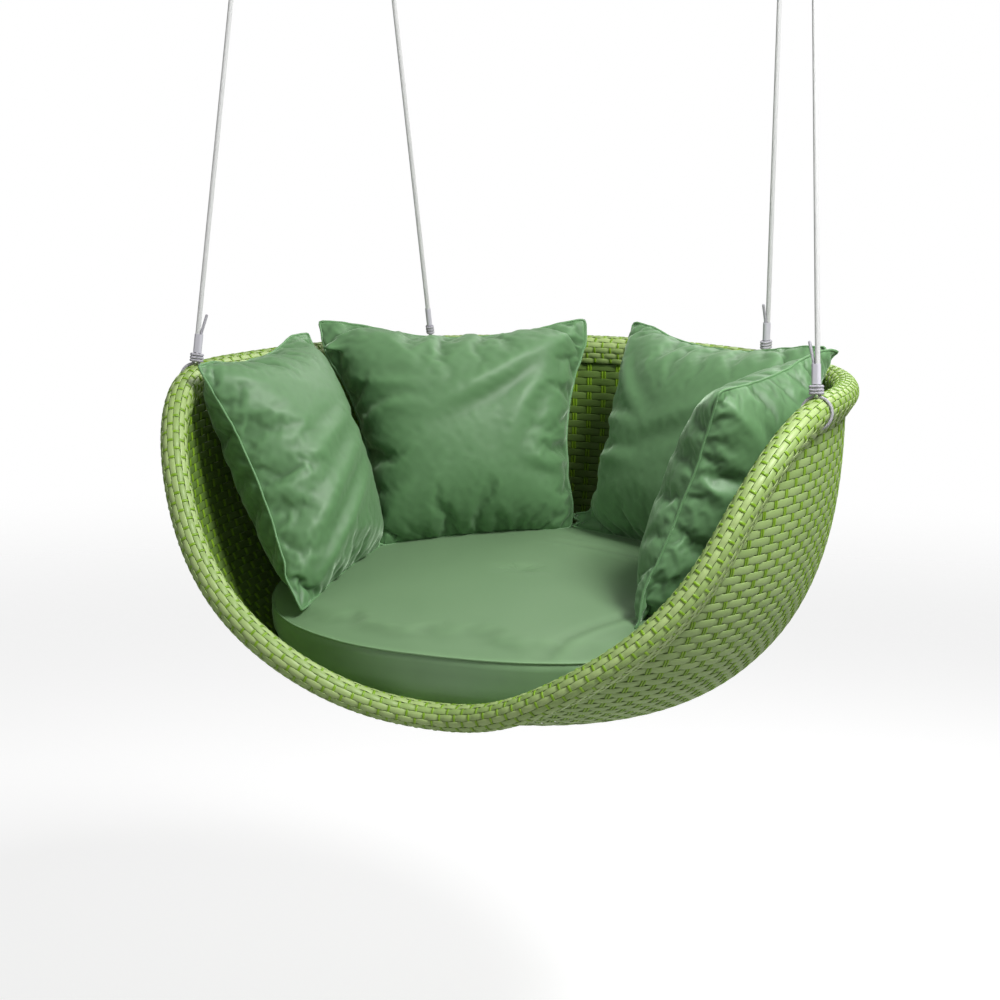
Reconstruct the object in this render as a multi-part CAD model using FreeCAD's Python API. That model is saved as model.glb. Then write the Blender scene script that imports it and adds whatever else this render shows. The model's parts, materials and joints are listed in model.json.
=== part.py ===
"""Woven hanging nest lounger: a strap-woven bowl on four ropes, with a seat cushion and four scatter pillows.

Units are millimetres. The origin is the centre of the ceiling face, midway between the two ceiling brackets.
+X is to the sitter's left as they look out of the nest, +Y is to the back of the nest, and +Z is up.
The nest is drawn about its own centre, with Z = 0 at the level part of its rim. On saving it is hung from the
hooks, pitched forward a little.
"""
import math
import os

import FreeCAD
import Part
from FreeCAD import Vector

# ---- Driving dimensions of the bowl ----
HALF_WIDTH = 625.0
HALF_DEPTH = 557.0
BOWL_DROP = 600.0
PLAN_POWER = 2.345
WALL_DROP_POWER = 2.586
WALL_WIDTH_POWER = 3.63
WALL_TOP = 45.0
BOWL_SLICES_DEG = (0, 5, 10, 16, 24, 32, 40, 48, 56, 63, 70, 76, 82)
# How far the rim lies below its level part, by the angle round the plan from the front.
RIM_DROPS = (
    (0, 555), (15, 537), (30, 464), (40, 388), (50, 272), (57.5, 148), (65, 64),
    (72.5, 20), (80, 3), (95, 0), (125, 0), (160, -6), (180, -10),
)

# ---- Rim, skins and frame ----
ROLL_RADIUS = 24.4
ROLL_BORE = 15.3
TUBE_RADIUS = 15.0
TUBE_WALL = 2.0
CONE_SIDES = 48
# The trimming cone starts inside the nest, and its far point lies out beyond the open front.
CONE_APEX = (0, 60, -300)
CONE_FAR_POINT = (0, -1800, 1500)
CONE_REACH = 2.0
# A length that passes right through the nest from its middle.
BEYOND = 900.0
SKIN = 2.5
INNER_SKIN_DEPTH = 12.5
ROLL_GAP = 1.0
BAR_DEPTH = 5.25
BAR_THICKNESS = 4.5
RIB_WIDTH = 20.0
RIB_SLOT_GAP = 1.0
RIB_SLOT_CURVE = 14.0
RIB_ANGLES = (0, 30, 60, 105, 135, 165)
HOOP_Z = -300.0
HOOP_HEIGHT = 20.0
BASE_RING_OUTER = 205.0
BASE_RING_INNER = 180.0
BASE_Z = -592.5
JOINT_GAP = 0.1
SLAT_WIDTH = 30.0
SLAT_SPACING = 110.0

# ---- Ropes ----
ROPE_ANGLES = {"front": 79.1, "back": 145.4}
ROPE_RADIUS = 4.65
CORD_RADIUS = 2.8
CORD_LOOP_GAP = 1.6
CORD_BEND = 8.0
CORD_LEG = 4.7
CORD_END_IN_SLEEVE = 8.0
ROPE_OFFSET = 2.8
WRAP_COUNT = 3
WRAP_START = 34.6
WRAP_PITCH = 5.7
WRAP_HALF_WIDTH = 11.1
WRAP_HALF_DEPTH = 5.8
SLEEVE_WALL = 0.9
LOWER_SLEEVE_START = 50.0
LOWER_SLEEVE_LENGTH = 36.0
ROPE_END_IN_SLEEVE = 12.0
SLEEVE_BORE = 4.75
TAIL_LEAN_DEG = 12.0
TAIL_BEND = 40.0
TAIL_LENGTH = 30.0
# Which side of the rim the cord's tail stands on: -1 is the inside of the nest, 1 the outside.
TAIL_SIDES = {("left", "front"): -1, ("right", "front"): -1, ("left", "back"): 1, ("right", "back"): -1}
ROPE_SLOT = (9.0, 60.0, 16.0)
UPPER_LEG = 4.75
UPPER_BEND = 14.0
UPPER_SLEEVE_START = 24.0
UPPER_SLEEVE_LENGTH = 38.0
UPPER_TAIL = 22.0
THIMBLE_BORE = 8.5
THIMBLE_WALL = 1.5
THIMBLE_WIDTH = 10.5
THIMBLE_HANG = 2.8
EYE_OFFSET = 7.6

# ---- Ceiling hardware ----
HOOK_X = 481.0
HOOK_Y = 179.0
PLATE = (50.0, 110.0, 5.0)
PLATE_ROUND = 8.0
PLATE_BOLT_SPACING = 80.0
PLATE_HOLE_RADIUS = 5.5
PIVOT_Z = -36.0
EAR_INNER = 12.0
EAR_THICKNESS = 5.0
EAR_RADIUS = 18.0
BOLT_RADIUS = 5.0
BOLT_HOLE_RADIUS = 5.2
HEX_RADIUS = 9.2
BOLT_HEAD = 6.4
NUT_HEIGHT = 8.0
BOLT_STICK_OUT = 2.0
WASHER_RADIUS = 10.0
WASHER_HEIGHT = 2.0
BUSH_BORE = 5.05
BUSH_RADIUS = 8.0
BUSH_HALF_LENGTH = 11.8
HUB_RADIUS = 14.0
HUB_HALF_LENGTH = 10.0
EYE_Z = -72.0
EYE_RADIUS = 18.0
EYE_BORE = 10.0
EYE_HALF_THICKNESS = 5.0
WIRE_RADIUS = 4.5
WIRE_TOP_Z = -77.2
WIRE_HEIGHT = 91.0
WIRE_HALF_WIDTH = 20.5
WIRE_CORNER = 11.0
GATE_RADIUS = 4.0
GATE_NOSE_Z = -95.0
GATE_NOSE_GAP = 0.4
GATE_PIN_Z = -143.0
GATE_PIN_RADIUS = 1.5
GATE_PIN_HALF_LENGTH = 4.1
GATE_PIN_BORE = 1.55
TONGUE_HALF = 1.5
TONGUE_INSET = 0.5
SLOT_HALF = 1.7
SLOT_FLOOR = 6.0
EAR_ROUND = 4.4
SHOULDER_ROUND = 4.8
ROPE_RISE = 2105.0
NEST_RIM_Z = WIRE_TOP_Z - WIRE_HEIGHT - ROPE_RISE
# The nest hangs pitched forward by this angle, so that its centre of mass lies under the hinge line.
NEST_PITCH_DEG = 1.87

# ---- Cushions ----
SEAT_HALF_WIDTH = 500.0
SEAT_HALF_DEPTH = 397.0
SEAT_CENTRE_Y = 57.0
SEAT_POWER = 2.2
SEAT_SEAM_Z = -400.0
SEAT_SLOPE = 0.12
SEAT_CROWN = 28.0
SEAT_WALL_GAP = 5.0
SEAT_ROLL_GAP = 3.0
COVER_WALL = 2.0
FILL_GAP = 0.5
PIPING_RADIUS = 4.0
PIPING_STEPS = 24
PIPING_RUN_OUT = 3
PILLOW_HALF_THICKNESS = 82.0
PILLOW_POWER = 0.62
PILLOW_SHRINK = 2.5
PILLOW_STEPS = 12
# Corners of each pillow in the nest's frame: top left, top right, bottom left and bottom right of its face.
PILLOW_CORNERS = {
    "left": ((-560, -191, 40), (-540, 205, 52), (-358, -162, -400), (-352, 150, -345)),
    "centre": ((-505, 262, 78), (-30, 480, 76), (-330, 215, -335), (25, 350, -325)),
    "back": ((92, 470, 77), (520, 262, 75), (85, 345, -325), (395, 215, -335)),
    "right": ((450, -125, 25), (582, 205, 60), (296, -105, -395), (385, 150, -350)),
}

X_AXIS = Vector(1, 0, 0)
Y_AXIS = Vector(0, 1, 0)
Z_AXIS = Vector(0, 0, 1)
CENTRE = Vector(0, 0, 0)
SIDES = ("left", "right")


# ---- Small helpers ----
def cylinder(base, axis, radius, length):
    return Part.makeCylinder(radius, length, base, axis)


def centred_cylinder(centre, axis, radius, half_length):
    direction = Vector(axis).normalize()
    return cylinder(centre - direction * half_length, direction, radius, 2 * half_length)


def box_between(low, high):
    size = Vector(*high) - Vector(*low)
    return Part.makeBox(size.x, size.y, size.z, Vector(*low))


def mirrored(shape):
    return shape.mirror(CENTRE, X_AXIS)


def both_sides(shape):
    return shape.fuse(mirrored(shape))


def placed(shape, side):
    """A shape drawn on the +X side, put on the side asked for."""
    return shape if side == "right" else mirrored(shape)


def hung(shape):
    """A shape drawn in the nest's own frame, pitched about the hooks and moved down under the ceiling."""
    moved = shape.copy()
    moved.rotate(Vector(0, HOOK_Y, ROPE_RISE), X_AXIS, NEST_PITCH_DEG)
    moved.translate(Vector(0, -HOOK_Y, NEST_RIM_Z))
    return moved


def save(name, shape):
    shape.exportStep(os.path.join("parts", name + ".step"))


# ---- Bowl surface ----
def plan_factor(angle, power):
    return (abs(math.sin(angle)) ** power + abs(math.cos(angle)) ** power) ** (-1 / power)


def plan_wire(half_width, half_depth, z, power=PLAN_POWER, centre_y=0.0, slope=0.0, count=32):
    points = []
    for i in range(count):
        angle = 2 * math.pi * i / count
        factor = plan_factor(angle, power)
        y = -half_depth * factor * math.cos(angle)
        points.append(Vector(half_width * factor * math.sin(angle), centre_y + y, z + slope * y))
    curve = Part.BSplineCurve()
    curve.interpolate(points, PeriodicFlag=True)
    return Part.Wire([curve.toShape()])


def wall_point(phi):
    """Share of the half width, and height, of the bowl's profile at parameter phi: 0 at the rim's level."""
    share = math.cos(phi) ** (2 / WALL_WIDTH_POWER)
    height = -BOWL_DROP * math.sin(phi) ** (2 / WALL_DROP_POWER)
    return share, height


def wall_normal(phi):
    if phi == 0:
        return 1.0, 0.0
    step = 1e-4
    share_a, z_a = wall_point(phi - step)
    share_b, z_b = wall_point(phi + step)
    run = (share_b - share_a) * HALF_WIDTH
    fall = z_b - z_a
    length = math.hypot(run, fall)
    return -fall / length, run / length


def bowl(inset):
    """The bowl's outer form, drawn in by inset along its normal, as a solid."""
    slices = [plan_wire(HALF_WIDTH - inset, HALF_DEPTH - inset, WALL_TOP)]
    for degrees in BOWL_SLICES_DEG:
        phi = math.radians(degrees)
        share, z = wall_point(phi)
        out, down = wall_normal(phi)
        width = HALF_WIDTH * share - inset * out
        depth = HALF_DEPTH * share - inset * out
        slices.append(plan_wire(width, depth, z - inset * down))
    return Part.makeLoft(slices, True, False)


def wall_share(z):
    return (1 - (max(-z, 0) / BOWL_DROP) ** WALL_DROP_POWER) ** (1 / WALL_WIDTH_POWER)


def rim_point(degrees, drop):
    angle = math.radians(degrees)
    reach = wall_share(-drop) * plan_factor(angle, PLAN_POWER)
    return Vector(HALF_WIDTH * reach * math.sin(angle), -HALF_DEPTH * reach * math.cos(angle), -drop)


def rim_half():
    """The +X half of the rim's centre line, from the front centre to the back centre."""
    before = [(-degrees, drop) for degrees, drop in RIM_DROPS[4:0:-1]]
    after = [(360 - degrees, drop) for degrees, drop in RIM_DROPS[-2:-6:-1]]
    points = [rim_point(degrees, drop) for degrees, drop in before + list(RIM_DROPS) + after]
    curve = Part.BSplineCurve()
    curve.interpolate(points)
    front = curve.parameter(points[len(before)])
    back = curve.parameter(points[len(before) + len(RIM_DROPS) - 1])
    curve.segment(front, back)
    return curve


RIM = rim_half()
RIM_EDGE = RIM.toShape()


def rim_pipe(radius):
    """Half a round bar along the rim, on the +X side."""
    start = RIM_EDGE.valueAt(RIM_EDGE.FirstParameter)
    ring = Part.Wire([Part.Circle(start, X_AXIS, radius).toShape()])
    return Part.Wire([RIM_EDGE]).makePipeShell([ring], True, False)


def rim_at(degrees):
    """Point and direction of the rim's centre line at an angle round the plan, on the +X side."""
    low, high = RIM.FirstParameter, RIM.LastParameter
    for _ in range(40):
        middle = (low + high) / 2
        point = RIM.value(middle)
        found = math.degrees(math.atan2(point.x / HALF_WIDTH, -point.y / HALF_DEPTH))
        if found < degrees:
            low = middle
        else:
            high = middle
    return RIM.value(low), RIM.tangent(low)[0]


def bowl_level(point):
    """1 on the bowl's outer face, less inside it and more outside it."""
    plan = abs(point.x / HALF_WIDTH) ** PLAN_POWER + abs(point.y / HALF_DEPTH) ** PLAN_POWER
    drop = max(-point.z, 0) / BOWL_DROP
    return plan ** (WALL_WIDTH_POWER / PLAN_POWER) + drop ** WALL_DROP_POWER


def wall_outward(point):
    """Outward direction of the bowl's outer face, and how fast bowl_level grows along it."""
    slopes = [bowl_level(point + axis) - bowl_level(point - axis) for axis in (X_AXIS, Y_AXIS, Z_AXIS)]
    slope = Vector(*slopes) * 0.5
    return Vector(slope).normalize(), slope.Length


def below_rim(degrees, depth):
    """The point of the bowl's outer face that lies depth from the rim's centre line, square to it."""
    point, tangent = rim_at(degrees)
    down = tangent.cross(wall_outward(point)[0])
    point = point + down * (-depth if down.z > 0 else depth)
    for _ in range(4):
        outward, slope = wall_outward(point)
        point = point - outward * ((bowl_level(point) - 1) / slope)
    return point


def above_rim(depth):
    """A many-sided cone from inside the nest that takes away all the wall nearer the rim than depth."""
    apex = Vector(*CONE_APEX)
    far = Vector(*CONE_FAR_POINT)
    angles = [180 * (i + 0.5) / CONE_SIDES for i in range(CONE_SIDES)]
    edge = [below_rim(degrees, depth) for degrees in angles]
    edge = edge + [Vector(-point.x, point.y, point.z) for point in reversed(edge)]
    reach = [apex + (point - apex) * CONE_REACH for point in edge]
    faces = []
    for first, second in zip(reach, reach[1:] + reach[:1]):
        faces.append(Part.Face(Part.makePolygon([apex, first, second, apex])))
        faces.append(Part.Face(Part.makePolygon([far, second, first, far])))
    return Part.Solid(Part.makeShell(faces))


# ---- Shell, rim and frame ----
def along(origin, width_axis, height_axis, size):
    """A box centred on origin, with its sizes along height x width, width_axis and height_axis."""
    third = height_axis.cross(width_axis)
    block = Part.makeBox(*size, Vector(-size[0] / 2, -size[1] / 2, -size[2] / 2))
    matrix = FreeCAD.Matrix(
        third.x, width_axis.x, height_axis.x, origin.x,
        third.y, width_axis.y, height_axis.y, origin.y,
        third.z, width_axis.z, height_axis.z, origin.z,
        0, 0, 0, 1,
    )
    block.Placement = FreeCAD.Placement(matrix)
    return block


def skin(inset, trim, slots):
    sheet = bowl(inset).cut(bowl(inset + SKIN)).cut(trim)
    return sheet.cut(slots)


def rope_slots():
    """The openings under the roll that each rope's cord passes through."""
    blocks = []
    for (side, place), tail in TAIL_SIDES.items():
        origin, up, out, _ = lower_frame(place, tail)
        under = origin - up * (ROLL_RADIUS + CORD_LOOP_GAP + CORD_RADIUS)
        blocks.append(placed(along(under, out, up, ROPE_SLOT), side))
    return Part.makeCompound(blocks)


def rib_heading(degrees):
    point = rim_at(degrees)[0]
    return math.degrees(math.atan2(point.x, -point.y))


def rib_blades(width):
    """Upright blades through the nest's axis, one for each rib."""
    blades = []
    for degrees in RIB_ANGLES:
        blade = Part.makeBox(width, BEYOND, BEYOND, Vector(-width / 2, -BEYOND, -BOWL_DROP))
        blade.rotate(CENTRE, Z_AXIS, rib_heading(degrees))
        blades.append(blade)
    star = blades[0]
    for blade in blades[1:]:
        star = star.fuse(blade)
    return both_sides(star)


def bar_layer():
    return bowl(BAR_DEPTH).cut(bowl(BAR_DEPTH + BAR_THICKNESS))


def plan_prism(half_width, half_depth, low, high):
    return Part.Face(plan_wire(half_width, half_depth, low)).extrude(Vector(0, 0, high - low))


def frame_ribs(layer):
    ribs = layer.common(rib_blades(RIB_WIDTH)).cut(above_rim(TUBE_RADIUS + ROLL_GAP))
    ratio = HALF_DEPTH / HALF_WIDTH
    middle = BASE_RING_OUTER + JOINT_GAP
    return ribs.cut(plan_prism(middle, middle * ratio, -BOWL_DROP, 0))


def mid_hoop(layer):
    half = HOOP_HEIGHT / 2
    band = box_between((-BEYOND, -BEYOND, HOOP_Z - half), (BEYOND, BEYOND, HOOP_Z + half))
    hoop = layer.common(band).cut(above_rim(ROLL_RADIUS + ROLL_GAP))
    return hoop.cut(rib_blades(RIB_WIDTH + 2 * JOINT_GAP))


def base_ring():
    ratio = HALF_DEPTH / HALF_WIDTH
    top = BASE_Z + BAR_THICKNESS
    ring = plan_prism(BASE_RING_OUTER, BASE_RING_OUTER * ratio, BASE_Z, top)
    return ring.cut(plan_prism(BASE_RING_INNER, BASE_RING_INNER * ratio, BASE_Z, top))


def base_slats():
    ratio = HALF_DEPTH / HALF_WIDTH
    half = BASE_RING_INNER - JOINT_GAP
    inside = plan_prism(half, half * ratio, BASE_Z, BASE_Z + BAR_THICKNESS)
    slats = []
    for row in (-1, 0, 1):
        low = (-HALF_WIDTH, row * SLAT_SPACING - SLAT_WIDTH / 2, BASE_Z)
        high = (HALF_WIDTH, row * SLAT_SPACING + SLAT_WIDTH / 2, BASE_Z + BAR_THICKNESS)
        slats.append(box_between(low, high).common(inside))
    return Part.makeCompound(slats)


def rim_wrap():
    """The woven roll round the rim tube, with a slot at each rib."""
    roll = rim_pipe(ROLL_RADIUS).cut(rim_pipe(ROLL_BORE))
    depth = BAR_DEPTH + BAR_THICKNESS / 2
    slot = (RIB_WIDTH + RIB_SLOT_GAP, BAR_THICKNESS + RIB_SLOT_CURVE, 3 * ROLL_RADIUS)
    for degrees in RIB_ANGLES:
        point = rim_at(degrees)[0]
        heading = math.radians(rib_heading(degrees))
        across = Vector(math.cos(heading), math.sin(heading), 0)
        outward = wall_outward(point)[0]
        outward = (outward - across * outward.dot(across)).normalize()
        up = across.cross(outward)
        up = up if up.z > 0 else -up
        origin = point - outward * depth - up * 2 * ROLL_RADIUS
        roll = roll.cut(along(origin, outward, up, slot))
    return both_sides(roll)


def rim_tube():
    return both_sides(rim_pipe(TUBE_RADIUS).cut(rim_pipe(TUBE_RADIUS - TUBE_WALL)))


# ---- Ropes ----
def lower_frame(place, tail):
    """Rim point, rope direction, outward direction across the rim, and the loop's normal, at a rope."""
    origin, tangent = rim_at(ROPE_ANGLES[place])
    up = (eye_centre(place, Z_AXIS) - origin).normalize()
    for _ in range(6):
        out, top_out = loop_axes(tangent, up), loop_axes(Y_AXIS, up)
        low = origin - out * (ROPE_OFFSET * tail)
        top = eye_centre(place, up) - top_out * UPPER_LEG
        up = (top - low).normalize()
    return origin, up, loop_axes(tangent, up), up.cross(loop_axes(tangent, up))


def loop_axes(wire_axis, up):
    across = wire_axis.cross(up).normalize()
    return across if across.x > 0 else -across



def eye_centre(place, up):
    shift = EYE_OFFSET if place == "back" else -EYE_OFFSET
    return Vector(HOOK_X, HOOK_Y + shift, ROPE_RISE) - up * THIMBLE_HANG


class Plane:
    """Flat drawing plane with its own width (w) and height (u) axes."""

    def __init__(self, origin, width_axis, height_axis):
        self.origin, self.w, self.u = origin, width_axis, height_axis

    def at(self, w, u):
        return self.origin + self.w * w + self.u * u

    def line(self, start, end):
        return Part.LineSegment(self.at(*start), self.at(*end)).toShape()

    def arc(self, start, middle, end):
        return Part.Arc(self.at(*start), self.at(*middle), self.at(*end)).toShape()


def sweep(edges, radius):
    start = edges[0].valueAt(edges[0].FirstParameter)
    heading = edges[0].tangentAt(edges[0].FirstParameter)
    ring = Part.Wire([Part.Circle(start, heading, radius).toShape()])
    return Part.Wire(edges).makePipeShell([ring], True, False)


def loop_edges(plane, side, leg, radius, bend, start_u, end_u):
    """One cord that comes along u, goes round the origin at radius and goes back beside itself.

    It starts on the side opposite to side, and both legs run parallel at leg from the axis.
    The sign of start_u says which way the legs point.
    """
    sign = math.copysign(1, start_u)
    rise = math.sqrt((radius + bend) ** 2 - (leg + bend) ** 2)
    share = radius / (radius + bend)
    touch = ((leg + bend) * share, rise * share)
    turn = math.atan2(rise - touch[1], leg + bend - touch[0]) / 2
    middle = (leg + bend - bend * math.cos(turn), rise - bend * math.sin(turn))

    def at(w_side, point):
        return (w_side * point[0], sign * point[1])

    top = (leg, rise)
    round_end = (0, -radius)
    return [
        plane.line((-side * leg, start_u), at(-side, top)),
        plane.arc(at(-side, top), at(-side, middle), at(-side, touch)),
        plane.arc(at(-side, touch), at(1, round_end), at(side, touch)),
        plane.arc(at(side, touch), at(side, middle), at(side, top)),
        plane.line(at(side, top), (side * leg, end_u)),
    ]


def rope(place, tail):
    """The main strand: an eye over the ceiling hook, its short end, and the long run to the rim's sleeve."""
    origin, up, out, _ = lower_frame(place, tail)
    centre = eye_centre(place, up)
    top_out = loop_axes(Y_AXIS, up)
    plane = Plane(centre, top_out, up)
    end_low = origin - out * (ROPE_OFFSET * tail) + up * (LOWER_SLEEVE_START + ROPE_END_IN_SLEEVE)
    run = (centre - top_out * UPPER_LEG - end_low).dot(up)
    tail_end = -(UPPER_SLEEVE_START + UPPER_SLEEVE_LENGTH + UPPER_TAIL)
    radius = THIMBLE_BORE + THIMBLE_WALL + JOINT_GAP + ROPE_RADIUS
    edges = loop_edges(plane, -1, UPPER_LEG, radius, UPPER_BEND, tail_end, -run)
    tip = Part.makeSphere(ROPE_RADIUS, plane.at(UPPER_LEG, tail_end))
    return sweep(edges, ROPE_RADIUS).fuse(tip)


def tie_cord(place, tail):
    """The thin cord round the rim: its loop, its tail above the sleeve, and its wraps under the sleeve."""
    origin, up, out, normal = lower_frame(place, tail)
    plane = Plane(origin, out, up)
    sleeve_top = LOWER_SLEEVE_START + LOWER_SLEEVE_LENGTH
    radius = ROLL_RADIUS + CORD_LOOP_GAP + CORD_RADIUS
    start = LOWER_SLEEVE_START + CORD_END_IN_SLEEVE
    edges = loop_edges(plane, tail, CORD_LEG, radius, CORD_BEND, start, sleeve_top)
    lean = math.radians(TAIL_LEAN_DEG)
    half = lean / 2
    side = tail * (CORD_LEG + TAIL_BEND * (1 - math.cos(lean)))
    middle = (tail * (CORD_LEG + TAIL_BEND * (1 - math.cos(half))), sleeve_top + TAIL_BEND * math.sin(half))
    bent = (side, sleeve_top + TAIL_BEND * math.sin(lean))
    end = (side + tail * TAIL_LENGTH * math.sin(lean), bent[1] + TAIL_LENGTH * math.cos(lean))
    edges.append(plane.arc((tail * CORD_LEG, sleeve_top), middle, bent))
    edges.append(plane.line(bent, end))
    loop = sweep(edges, CORD_RADIUS).fuse(Part.makeSphere(CORD_RADIUS, plane.at(*end)))
    wraps = [wrap_ring(plane.at(0, WRAP_START + i * WRAP_PITCH), out, normal) for i in range(WRAP_COUNT)]
    return Part.makeCompound([loop] + wraps)


def wrap_ring(centre, out, normal):
    plane = Plane(centre, out, normal)
    straight = WRAP_HALF_WIDTH - WRAP_HALF_DEPTH
    halves = []
    for side in (-1, 1):
        low, high = (side * straight, -WRAP_HALF_DEPTH), (side * straight, WRAP_HALF_DEPTH)
        edges = [
            plane.line((0, -WRAP_HALF_DEPTH), low),
            plane.arc(low, (side * WRAP_HALF_WIDTH, 0), high),
            plane.line(high, (0, WRAP_HALF_DEPTH)),
        ]
        halves.append(sweep(edges, CORD_RADIUS))
    return halves[0].fuse(halves[1])


def slot_prism(plane, normal, centres, radius, length):
    """A prism of slot section: round at both centres along w, and length long."""
    low, high = centres
    edges = [
        Plane(plane.origin, plane.w, normal).line((low, -radius), (high, -radius)),
        Plane(plane.origin, plane.w, normal).arc((high, -radius), (high + radius, 0), (high, radius)),
        Plane(plane.origin, plane.w, normal).line((high, radius), (low, radius)),
        Plane(plane.origin, plane.w, normal).arc((low, radius), (low - radius, 0), (low, -radius)),
    ]
    return Part.Face(Part.Wire(edges)).extrude(plane.u * length)


def lower_sleeve(place, tail):
    origin, up, out, normal = lower_frame(place, tail)
    base = Plane(origin + up * LOWER_SLEEVE_START, out, up)
    spread = CORD_LEG + CORD_RADIUS + JOINT_GAP - SLEEVE_BORE
    outer = slot_prism(base, normal, (-spread, spread), SLEEVE_BORE + SLEEVE_WALL, LOWER_SLEEVE_LENGTH)
    return outer.cut(slot_prism(base, normal, (-spread, spread), SLEEVE_BORE, LOWER_SLEEVE_LENGTH))


def upper_sleeve(place, tail):
    up = lower_frame(place, tail)[1]
    out = loop_axes(Y_AXIS, up)
    start = eye_centre(place, up) - up * (UPPER_SLEEVE_START + UPPER_SLEEVE_LENGTH)
    base = Plane(start, out, up)
    normal = up.cross(out)
    centres = (-UPPER_LEG, UPPER_LEG)
    outer = slot_prism(base, normal, centres, SLEEVE_BORE + 1.5 * SLEEVE_WALL, UPPER_SLEEVE_LENGTH)
    return outer.cut(slot_prism(base, normal, centres, SLEEVE_BORE, UPPER_SLEEVE_LENGTH))


def thimble(place, tail):
    up = lower_frame(place, tail)[1]
    axis = up.cross(loop_axes(Y_AXIS, up))
    centre = eye_centre(place, up)
    ring = centred_cylinder(centre, axis, THIMBLE_BORE + THIMBLE_WALL, THIMBLE_WIDTH / 2)
    return ring.cut(centred_cylinder(centre, axis, THIMBLE_BORE, THIMBLE_WIDTH))


# ---- Ceiling hardware, drawn round the +X bracket ----
def hinge_at(z, x=0.0):
    return Vector(HOOK_X + x, 0, z)


def hanger_bracket():
    half_x, half_y, thick = PLATE[0] / 2, PLATE[1] / 2, PLATE[2]
    plate = box_between((HOOK_X - half_x, -half_y, -thick), (HOOK_X + half_x, half_y, 0))
    vertical = [edge for edge in plate.Edges if abs(edge.tangentAt(0).z) > 0.9]
    plate = plate.makeFillet(PLATE_ROUND, vertical)
    for side in (-1, 1):
        inner = HOOK_X + side * EAR_INNER
        outer = inner + side * EAR_THICKNESS
        low, high = min(inner, outer), max(inner, outer)
        web = box_between((low, -EAR_RADIUS, PIVOT_Z), (high, EAR_RADIUS, -thick))
        disc = cylinder(Vector(low, 0, PIVOT_Z), X_AXIS, EAR_RADIUS, EAR_THICKNESS)
        plate = plate.fuse(web.fuse(disc))
        hole = Vector(HOOK_X, side * PLATE_BOLT_SPACING / 2, -2 * thick)
        plate = plate.cut(cylinder(hole, Z_AXIS, PLATE_HOLE_RADIUS, 3 * thick))
    return plate.cut(centred_cylinder(hinge_at(PIVOT_Z), X_AXIS, BOLT_HOLE_RADIUS, 2 * EAR_RADIUS))


def hexagon(x, height):
    corners = []
    for i in range(7):
        turn = math.radians(60 * i)
        corners.append(Vector(x, HEX_RADIUS * math.cos(turn), PIVOT_Z + HEX_RADIUS * math.sin(turn)))
    return Part.Face(Part.makePolygon(corners)).extrude(Vector(height, 0, 0))


EAR_OUTER = EAR_INNER + EAR_THICKNESS
GRIP = EAR_OUTER + WASHER_HEIGHT


def pivot_bolt():
    shank_end = GRIP + NUT_HEIGHT + BOLT_STICK_OUT
    shank = cylinder(hinge_at(PIVOT_Z, -GRIP), X_AXIS, BOLT_RADIUS, GRIP + shank_end)
    return shank.fuse(hexagon(HOOK_X - GRIP - BOLT_HEAD, BOLT_HEAD))


def pivot_nut():
    nut = hexagon(HOOK_X + GRIP, NUT_HEIGHT)
    return nut.cut(centred_cylinder(hinge_at(PIVOT_Z, GRIP), X_AXIS, BOLT_RADIUS, 2 * NUT_HEIGHT))


def pivot_washers():
    washers = []
    for x in (-GRIP, EAR_OUTER):
        disc = cylinder(hinge_at(PIVOT_Z, x), X_AXIS, WASHER_RADIUS, WASHER_HEIGHT)
        washers.append(disc.cut(cylinder(hinge_at(PIVOT_Z, x), X_AXIS, BOLT_HOLE_RADIUS, WASHER_HEIGHT)))
    return Part.makeCompound(washers)


def pivot_bush():
    bush = centred_cylinder(hinge_at(PIVOT_Z), X_AXIS, BUSH_RADIUS, BUSH_HALF_LENGTH)
    return bush.cut(centred_cylinder(hinge_at(PIVOT_Z), X_AXIS, BUSH_BORE, 2 * BUSH_HALF_LENGTH))


def hanger_link():
    hub = centred_cylinder(hinge_at(PIVOT_Z), X_AXIS, HUB_RADIUS, HUB_HALF_LENGTH)
    neck = box_between(
        (HOOK_X - HUB_HALF_LENGTH, -EYE_HALF_THICKNESS, EYE_Z + EYE_BORE),
        (HOOK_X + HUB_HALF_LENGTH, EYE_HALF_THICKNESS, PIVOT_Z),
    )
    eye = centred_cylinder(hinge_at(EYE_Z), Y_AXIS, EYE_RADIUS, EYE_HALF_THICKNESS)
    link = hub.fuse(neck).fuse(eye)
    link = link.cut(centred_cylinder(hinge_at(EYE_Z), Y_AXIS, EYE_BORE, 2 * EYE_RADIUS))
    return link.cut(centred_cylinder(hinge_at(PIVOT_Z), X_AXIS, BUSH_RADIUS, 2 * EYE_RADIUS))


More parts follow.
